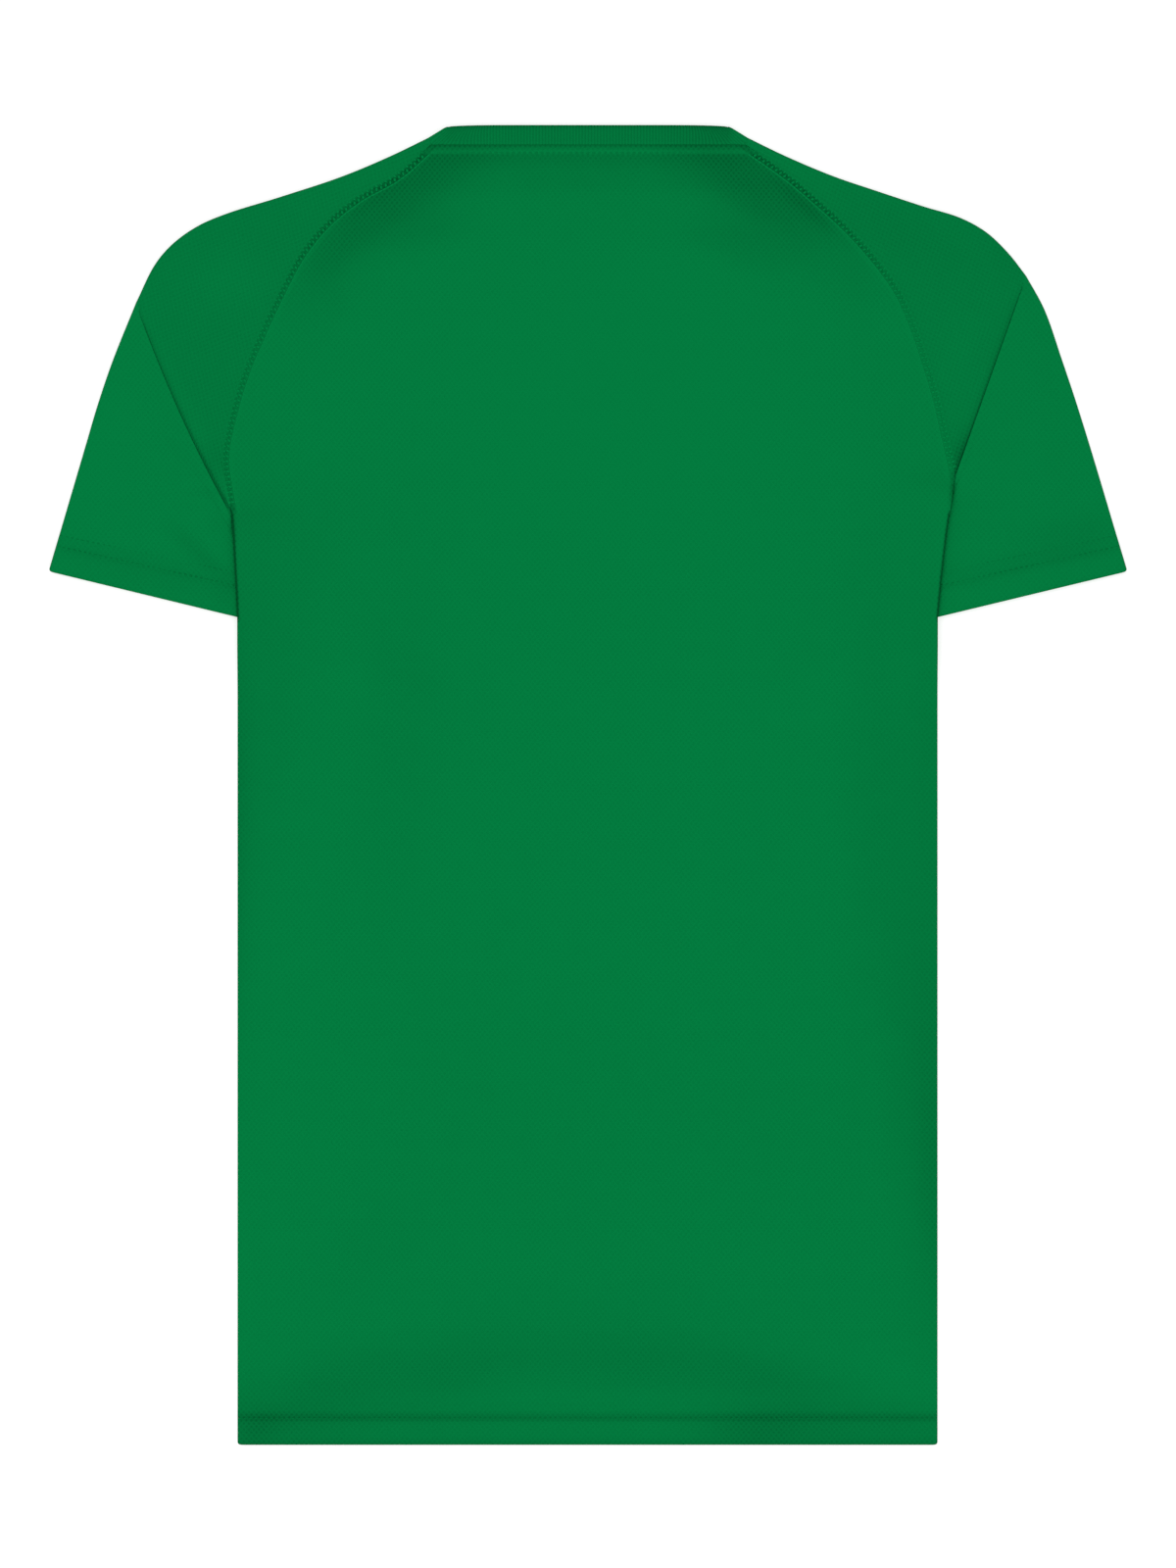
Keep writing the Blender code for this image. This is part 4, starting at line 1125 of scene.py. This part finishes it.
# Stitches
def stitch_tree():
    """Short threads, one at each pitch along an edge line, turned from the line's heading."""
    tree = bpy.data.node_groups.new("stitches_along_line", "GeometryNodeTree")
    face = tree.interface
    face.new_socket("Line", in_out="INPUT", socket_type="NodeSocketGeometry")
    for name in ("Pitch", "Length", "Width", "Height", "Turn"):
        face.new_socket(name, in_out="INPUT", socket_type="NodeSocketFloat")
    face.new_socket("Thread", in_out="INPUT", socket_type="NodeSocketMaterial")
    face.new_socket("Stitches", in_out="OUTPUT", socket_type="NodeSocketGeometry")
    kinds = {"given": "NodeGroupInput", "result": "NodeGroupOutput",
             "curve": "GeometryNodeMeshToCurve", "paced": "GeometryNodeResampleCurve",
             "tangent": "GeometryNodeInputTangent", "aim": "FunctionNodeAlignRotationToVector",
             "angles": "ShaderNodeCombineXYZ", "turn": "FunctionNodeEulerToRotation",
             "turned": "FunctionNodeRotateRotation", "thread": "GeometryNodeMeshIcoSphere",
             "size": "ShaderNodeCombineXYZ", "placed": "GeometryNodeInstanceOnPoints",
             "real": "GeometryNodeRealizeInstances", "soft": "GeometryNodeSetShadeSmooth",
             "dyed": "GeometryNodeSetMaterial"}
    node = {name: tree.nodes.new(kind) for name, kind in kinds.items()}
    node["paced"].mode = "LENGTH"
    node["aim"].axis, node["aim"].pivot_axis = "X", "Z"
    node["turned"].rotation_space = "LOCAL"
    set_values(node["thread"], {"Radius": 0.5, "Subdivisions": 2})
    for source, output, target, entry in (
            ("given", "Line", "curve", "Mesh"), ("curve", "Curve", "paced", "Curve"),
            ("given", "Pitch", "paced", "Length"), ("tangent", "Tangent", "aim", "Vector"),
            ("aim", "Rotation", "turned", "Rotation"), ("given", "Turn", "angles", "Z"),
            ("angles", "Vector", "turn", "Euler"), ("turn", "Rotation", "turned", "Rotate By"),
            ("given", "Length", "size", "X"), ("given", "Width", "size", "Y"),
            ("given", "Height", "size", "Z"), ("paced", "Curve", "placed", "Points"),
            ("thread", "Mesh", "placed", "Instance"), ("turned", "Rotation", "placed", "Rotation"),
            ("size", "Vector", "placed", "Scale"), ("placed", "Instances", "real", "Geometry"),
            ("real", "Geometry", "soft", "Geometry"), ("soft", "Geometry", "dyed", "Geometry"),
            ("given", "Thread", "dyed", "Material"), ("dyed", "Geometry", "result", "Stitches")):
        tree.links.new(node[source].outputs[output], node[target].inputs[entry])
    return tree


Stitch = namedtuple("Stitch", "pitch length width height turn")
LADDER = Stitch(0.0028, 0.0024, 0.0013, 0.0008, 72)
LOOPS = Stitch(0.0028, 0.0022, 0.0013, 0.0008, 105)
CORD = Stitch(0.0023, 0.0028, 0.0010, 0.0006, 0)
NEEDLE = Stitch(0.0029, 0.0017, 0.0006, 0.0005, 0)
TUCKS = Stitch(0.0031, 0.0021, 0.0014, 0.0005, 0)
UNDERSIDE_STITCH = 0.00012      # height of the middle of a stitch on the side that lies down
UNDERSIDE_LADDER = 0.00032
LADDER_START, LOOPS_START, CORD_START = 0.0030, 0.0044, 0.0060      # from the neckband
SEAM_STITCH_END = 0.0040        # from the armpit
FRONT_STITCH_ENDS = (0.0040, 0.0060)
CUFF_LINE_ENDS = (0.012, 0.960)         # shares of the cuff's width
HEM_LINE_END = 0.0010
NECK_LINE_END = 0.0815
NECK_LINE_IN = 0.0004           # from the ridge's lower edge
NEEDLE_SUNK, NEEDLE_INNER_SUNK, TUCKS_SUNK = 0.00022, 0.00030, 0.00010


def stitch(name, lines, kind, thread):
    """Stitches along lines of points, as one plain mesh."""
    points = np.concatenate(lines)
    edges, first = [], 0
    for line in lines:
        edges += [(first + step, first + step + 1) for step in range(len(line) - 1)]
        first += len(line)
    mesh = bpy.data.meshes.new(name)
    mesh.from_pydata(points, edges, [])
    source = bpy.data.objects.new(name + "_line", mesh)
    bpy.context.scene.collection.objects.link(source)
    modifier = source.modifiers.new("stitches", "NODES")
    modifier.node_group = STITCHES
    values = {"Pitch": kind.pitch, "Length": kind.length, "Width": kind.width,
              "Height": kind.height, "Turn": math.radians(kind.turn), "Thread": thread}
    for item in STITCHES.interface.items_tree:
        if item.in_out == "INPUT" and item.name in values:
            modifier[item.identifier] = values[item.name]
    view = bpy.context.evaluated_depsgraph_get()
    made = bpy.data.meshes.new_from_object(source.evaluated_get(view))
    bpy.data.objects.remove(source, do_unlink=True)
    made.name = name
    piece = bpy.data.objects.new(name, made)
    bpy.context.scene.collection.objects.link(piece)
    return piece


def seam_line(path, start, end, height, shift=0.0, spacing=0.0015):
    """Points along a path between two distances, at a height, moved to the left of its heading."""
    distance = np.linspace(start, end, max(int((end - start) / spacing), 2))
    spot = path.along(distance) + turned_left(path.heading(distance)) * shift
    return lifted(spot, height)


def joined(name, pieces):
    """Several stitch meshes as one piece."""
    with bpy.context.temp_override(active_object=pieces[0], object=pieces[0],
                                   selected_editable_objects=pieces):
        bpy.ops.object.join()
    pieces[0].name = pieces[0].data.name = name
    return pieces[0]


def raglan_row(path, start, end, shift):
    """A row of stitches in the hollow of the seam."""
    line = seam_line(path, start, end, STEP + CLOTH - STITCH_SUNK, shift)
    line[:, 2] -= STITCHES_FOLLOW * LADDER_DEPTH * seam_pull(line[:, :2])
    return line


def raglan_stitches(thread):
    ladders, loops, cords = [], [], []
    for side in (LEFT, RIGHT):
        end = side.raglan.length - SEAM_STITCH_END
        ladders.append(raglan_row(side.raglan, LADDER_START, end, -side.sign * LADDER_MIDDLE))
        loops.append(raglan_row(side.raglan, LOOPS_START, end, side.sign * LOOPS_MIDDLE))
        cords.append(seam_line(side.raglan, CORD_START, end,
                               STEP + CLOTH + BODY_RIDGE_RAISE - CORD_SUNK,
                               -side.sign * CORD_MIDDLE))
        front_start, front_end = FRONT_STITCH_ENDS
        ladders.append(seam_line(side.front_raglan, front_start,
                                 side.front_raglan.length - front_end, UNDERSIDE_LADDER,
                                 -side.sign * LADDER_SHIFT))
    return joined("raglan_stitches", [
        stitch("raglan_ladder", ladders, LADDER, thread),
        stitch("raglan_loops", loops, LOOPS, thread),
        stitch("raglan_cords", cords, CORD, thread)])


def level_line(start_x, end_x, y, height, count):
    x = np.linspace(start_x, end_x, count)
    return np.stack([x, np.full_like(x, y), np.full_like(x, height)], axis=-1)


def cuff_line(side, inward, height):
    lean = abs(side.underarm.heading(0.01) @ side.cuff_normal)
    end_on_underarm = ARMPIT_SLOPE + side.underarm.length
    row = lower_row(side, side.sleeve_top.length - inward,
                    end_on_underarm - inward * CUFF_SPREAD / lean)
    share = np.linspace(*CUFF_LINE_ENDS, 80)[:, None]
    return lifted(mix(row.fold, row.back, share), height)


def hem_stitches(thread):
    """Both stitch rows of the hem and of the two cuffs, on the side shown and on the underside."""
    lines = []
    for inward, sunk in ((HEM_STITCH, NEEDLE_SUNK),
                         (HEM_STITCH + HEM_STITCH_GAP, NEEDLE_INNER_SUNK)):
        height, y = STEP + CLOTH - sunk, HEM_Y + inward
        ends = [side.body_side.x_at(y) - side.sign * HEM_LINE_END for side in (LEFT, RIGHT)]
        for hem_height, cuff_height in ((height, height + TURNED_RAISE),
                                        (UNDERSIDE_STITCH, UNDERSIDE_STITCH)):
            lines.append(level_line(*ends, y, hem_height, 260))
            lines += [cuff_line(side, inward, cuff_height) for side in (LEFT, RIGHT)]
    return stitch("hem_stitches", lines, NEEDLE, thread)


def neck_stitches(thread):
    line = level_line(-NECK_LINE_END, NECK_LINE_END, NECK_SEAM_Y - NECK_RIDGE + NECK_LINE_IN,
                      STEP + CLOTH + RIDGE_RAISE - TUCKS_SUNK, 200)
    return stitch("neck_stitches", [line], TUCKS, thread)


# Finishes
def group_with(name, inputs, outputs):
    group = bpy.data.node_groups.new(name, "ShaderNodeTree")
    for label, kind in inputs:
        group.interface.new_socket(label, in_out="INPUT", socket_type="NodeSocket" + kind)
    for label, kind in outputs:
        group.interface.new_socket(label, in_out="OUTPUT", socket_type="NodeSocket" + kind)
    return group, group.nodes.new("NodeGroupInput"), group.nodes.new("NodeGroupOutput")


def number(group, operation, *values):
    """One Math node. A value is a number or a socket."""
    node = group.nodes.new("ShaderNodeMath")
    node.operation = operation
    for socket, value in zip(node.inputs, values):
        if isinstance(value, (int, float)):
            socket.default_value = value
        else:
            group.links.new(value, socket)
    return node.outputs[0]


def ranged(group, value, low, high):
    """Rise softly from 0 to 1 between two values."""
    node = group.nodes.new("ShaderNodeMapRange")
    node.interpolation_type = "SMOOTHSTEP"
    set_values(node, {"From Min": low, "From Max": high})
    group.links.new(value, node.inputs["Value"])
    return node.outputs["Result"]


def noise(group, vector, scale, detail=2.0):
    node = group.nodes.new("ShaderNodeTexNoise")
    set_values(node, {"Scale": scale, "Detail": detail})
    group.links.new(vector, node.inputs["Vector"])
    return node.outputs["Fac"]


def birdseye_knit():
    """Staggered eyelets between rows of yarn loops, on cloth coordinates in metres."""
    group, given, result = group_with(
        "birdseye_knit",
        [("Cloth", "Vector"), ("Eyelet Width", "Float"), ("Eyelet Height", "Float"),
         ("Looseness", "Float")],
        [("Eyelet", "Float"), ("Height", "Float")])
    cloth = given.outputs["Cloth"]
    drift = number(group, "MULTIPLY", number(group, "SUBTRACT", noise(group, cloth, 300.0), 0.5),
                   given.outputs["Looseness"])
    parts = group.nodes.new("ShaderNodeSeparateXYZ")
    group.links.new(cloth, parts.inputs["Vector"])

    def wave(axis, size, share=1.0):
        turns = number(group, "DIVIDE", number(group, "ADD", parts.outputs[axis], drift), size)
        return number(group, "COSINE", number(group, "MULTIPLY", turns, 2 * math.pi * share))

    across = wave("X", given.outputs["Eyelet Width"])
    along = wave("Y", given.outputs["Eyelet Height"])
    eyelet = ranged(group, number(group, "MULTIPLY", across, along), -0.15, 0.80)
    loops = number(group, "MULTIPLY", wave("X", given.outputs["Eyelet Width"], 4.0),
                   wave("Y", given.outputs["Eyelet Height"], 3.0))
    height = number(group, "SUBTRACT", 1.0, eyelet)
    height = number(group, "ADD", height, number(group, "MULTIPLY", loops, 0.10))
    group.links.new(eyelet, result.inputs["Eyelet"])
    group.links.new(height, result.inputs["Height"])
    return group


def rib_knit():
    """Fine ribs across the neckband."""
    group, given, result = group_with(
        "rib_knit", [("Cloth", "Vector"), ("Rib Width", "Float")],
        [("Furrow", "Float"), ("Height", "Float")])
    parts = group.nodes.new("ShaderNodeSeparateXYZ")
    group.links.new(given.outputs["Cloth"], parts.inputs["Vector"])
    turns = number(group, "DIVIDE", parts.outputs["X"], given.outputs["Rib Width"])
    wave = number(group, "COSINE", number(group, "MULTIPLY", turns, 2 * math.pi))
    furrow = ranged(group, wave, -0.2, 0.9)
    stacked = number(group, "COSINE",
                     number(group, "MULTIPLY", parts.outputs["Y"], 2 * math.pi / RIB_ROW))
    height = number(group, "ADD", number(group, "SUBTRACT", 1.0, furrow),
                    number(group, "MULTIPLY", stacked, 0.12))
    group.links.new(furrow, result.inputs["Furrow"])
    group.links.new(height, result.inputs["Height"])
    return group


DYE_PATCHES = ((14.0, 1.0, 0.04), (75.0, 2.0, 0.06), (800.0, 2.0, 0.22))     # scale, detail, amount
DYE_MIDDLE = 0.15           # about what they add up to
# The dark colour is a shaded copy of the light one, for dye patches and for painted shade
DARK_SHARE = 0.35           # of the light colour


def dyed_cloth():
    """Dyed colour, darker in eyelets and in uneven dye patches, with painted shade and painted
    light from each point's shade; the knit shows more in painted shade.
    """
    group, given, result = group_with(
        "dyed_cloth",
        [("Light", "Color"), ("Dark", "Color"), ("Place", "Vector"), ("Painted Shade", "Float"),
         ("Texture", "Float"), ("Texture Amount", "Float")],
        [("Color", "Color")])
    share = given.outputs["Painted Shade"]
    for scale, detail, amount in DYE_PATCHES:
        patch = noise(group, given.outputs["Place"], scale, detail)
        share = number(group, "MULTIPLY_ADD", patch, amount, share)
    # the knit's eyelets show more where shade is painted
    deeper = number(group, "MULTIPLY_ADD", given.outputs["Painted Shade"], 6.0, 0.3)
    deeper = number(group, "MINIMUM", number(group, "MAXIMUM", deeper, 1.0), 3.0)
    texture = number(group, "MULTIPLY", number(group, "MULTIPLY", given.outputs["Texture"], deeper),
                     given.outputs["Texture Amount"])
    share = number(group, "ADD", share, texture)
    blend = group.nodes.new("ShaderNodeMix")
    blend.data_type = "RGBA"
    group.links.new(number(group, "SUBTRACT", share, DYE_MIDDLE), blend.inputs["Factor"])
    group.links.new(given.outputs["Light"], blend.inputs["A"])
    group.links.new(given.outputs["Dark"], blend.inputs["B"])
    group.links.new(blend.outputs["Result"], result.inputs["Color"])
    return group


def principled(name, roughness, sheen):
    material = bpy.data.materials.new(name)
    material.use_nodes = True
    shader = material.node_tree.nodes["Principled BSDF"]
    set_values(shader, {"Roughness": roughness, "Specular IOR Level": 0.06,
                        "Specular Tint": (0.0, 0.85, 0.40, 1.0), "Sheen Weight": sheen,
                        "Sheen Roughness": 0.45, "Sheen Tint": (0.0, 0.62, 0.26, 1.0)})
    return material, shader


def cloth_material(name, pattern, pattern_values, light, roughness, sheen, texture, bump):
    material, shader = principled(name, roughness, sheen)
    tree = material.node_tree
    node, link = tree.nodes.new, tree.links.new
    cloth = node("ShaderNodeUVMap")
    cloth.uv_map = "cloth"
    # painted shade and light of each point, from the piece's shade attribute
    shade = node("ShaderNodeAttribute")
    shade.attribute_name = "shade"
    knit = node("ShaderNodeGroup")
    knit.node_tree = pattern
    link(cloth.outputs["UV"], knit.inputs["Cloth"])
    set_values(knit, pattern_values)
    colour = node("ShaderNodeGroup")
    colour.node_tree = DYE_AND_PAINTED_SHADE
    set_values(colour, {"Light": (*light, 1.0), "Texture Amount": texture,
                        "Dark": (*(DARK_SHARE * value for value in light), 1.0)})
    link(cloth.outputs["UV"], colour.inputs["Place"])
    link(shade.outputs["Fac"], colour.inputs["Painted Shade"])
    link(knit.outputs[0], colour.inputs["Texture"])
    link(colour.outputs["Color"], shader.inputs["Base Color"])
    raised = node("ShaderNodeBump")
    set_values(raised, {"Strength": 1.0, "Distance": bump})
    link(knit.outputs["Height"], raised.inputs["Height"])
    link(raised.outputs["Normal"], shader.inputs["Normal"])
    return material


def thread_material(name, light, dark):
    material, shader = principled(name, roughness=0.55, sheen=0.10)
    tree = material.node_tree
    place = tree.nodes.new("ShaderNodeTexCoord")
    twist = noise(tree, place.outputs["Object"], 1400.0)
    blend = tree.nodes.new("ShaderNodeMix")
    blend.data_type = "RGBA"
    set_values(blend, {"A": (*light, 1.0), "B": (*dark, 1.0)})
    tree.links.new(twist, blend.inputs["Factor"])
    tree.links.new(blend.outputs["Result"], shader.inputs["Base Color"])
    return material


STITCHES = stitch_tree()
DYE_AND_PAINTED_SHADE = dyed_cloth()
KNIT_PATTERN, RIB_PATTERN = birdseye_knit(), rib_knit()
knit = cloth_material("green_birdseye_knit", KNIT_PATTERN,
                      {"Eyelet Width": 0.00274, "Eyelet Height": 0.00324, "Looseness": 0.0006},
                      light=(0.0010, 0.2150, 0.0527), roughness=0.62, sheen=0.12, texture=0.10,
                      bump=0.00010)
rib = cloth_material("green_rib_knit", RIB_PATTERN, {"Rib Width": RIB_WIDTH},
                     light=(0.0010, 0.2030, 0.0506), roughness=0.70, sheen=0.10, texture=0.20,
                     bump=0.00015)
seam_thread = thread_material("seam_thread", (0.0011, 0.2500, 0.0625), (0.0009, 0.2050, 0.0510))
hem_thread = thread_material("hem_thread", (0.0009, 0.2000, 0.0490), (0.0007, 0.1600, 0.0395))

back = build_back()
front = build_front()
left_sleeve = build_sleeve("left_sleeve", LEFT, LEFT_UPPER_CREASES, LEFT_LOWER_CREASES,
                           grains=(-28, 0), shades=(0.12, 0.0))
right_sleeve = build_sleeve("right_sleeve", RIGHT, RIGHT_UPPER_CREASES, RIGHT_LOWER_CREASES,
                            grains=(22, 0), shades=(0.09, 0.0))
neck_rib = build_neckband()
seams = [raglan_stitches(seam_thread), hem_stitches(hem_thread), neck_stitches(hem_thread)]

for piece, node_name, cloth in ((back, "back", knit), (front, "front", knit),
                                (left_sleeve, "sleeve_left", knit),
                                (right_sleeve, "sleeve_right", knit), (neck_rib, "neckband", rib)):
    piece.data.materials.append(cloth)
    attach(piece, "root")
    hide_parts(node_name)
for piece in seams:
    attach(piece, "root")


# Surroundings
def build_floor():
    half, height = 3.0, -0.0002
    corners = [(x * half, y * half, height) for x, y in ((-1, -1), (1, -1), (1, 1), (-1, 1))]
    floor = new_piece("floor", corners, [(0, 1, 2, 3)])
    material = bpy.data.materials.new("pale_floor")
    material.use_nodes = True
    shader = material.node_tree.nodes["Principled BSDF"]
    set_values(shader, {"Base Color": (0.55, 0.55, 0.55, 1.0), "Roughness": 0.9,
                        "Specular IOR Level": 0.0, "Emission Color": (1.0, 1.0, 1.0, 1.0),
                        "Emission Strength": 0.60})
    floor.data.materials.append(material)
    return floor


build_floor()


def soft_light(name, place, size, power):
    """A square lamp that faces the shirt."""
    lamp = bpy.data.lights.new(name, "AREA")
    lamp.shape = "SQUARE"
    lamp.size = size
    lamp.energy = power
    holder = bpy.data.objects.new(name, lamp)
    holder.location = place
    holder.rotation_euler = (-Vector(place)).to_track_quat("-Z", "Y").to_euler()
    bpy.context.scene.collection.objects.link(holder)


world = bpy.data.worlds.new("studio")
world.use_nodes = True
set_values(world.node_tree.nodes["Background"], {"Color": (1.0, 1.0, 1.0, 1.0), "Strength": 0.62})
bpy.context.scene.world = world
soft_light("front_softbox", (0.5, -2.4, 2.6), 1.4, 30)
soft_light("top_softbox", (-1.2, 1.2, 3.2), 1.6, 22)
bpy.context.scene.view_settings.view_transform = "Standard"

camera = bpy.data.cameras.new("camera")
camera.sensor_width = 36.0
camera.lens = 120.0
camera_holder = bpy.data.objects.new("camera", camera)
distance = PHOTO_PIXEL * PHOTO_SIZE[1] * camera.lens / camera.sensor_width
camera_holder.location = (0.0, PHOTO_CENTRE_Y, distance)
camera.clip_start, camera.clip_end = 0.1, 20.0
bpy.context.scene.collection.objects.link(camera_holder)
bpy.context.scene.camera = camera_holder
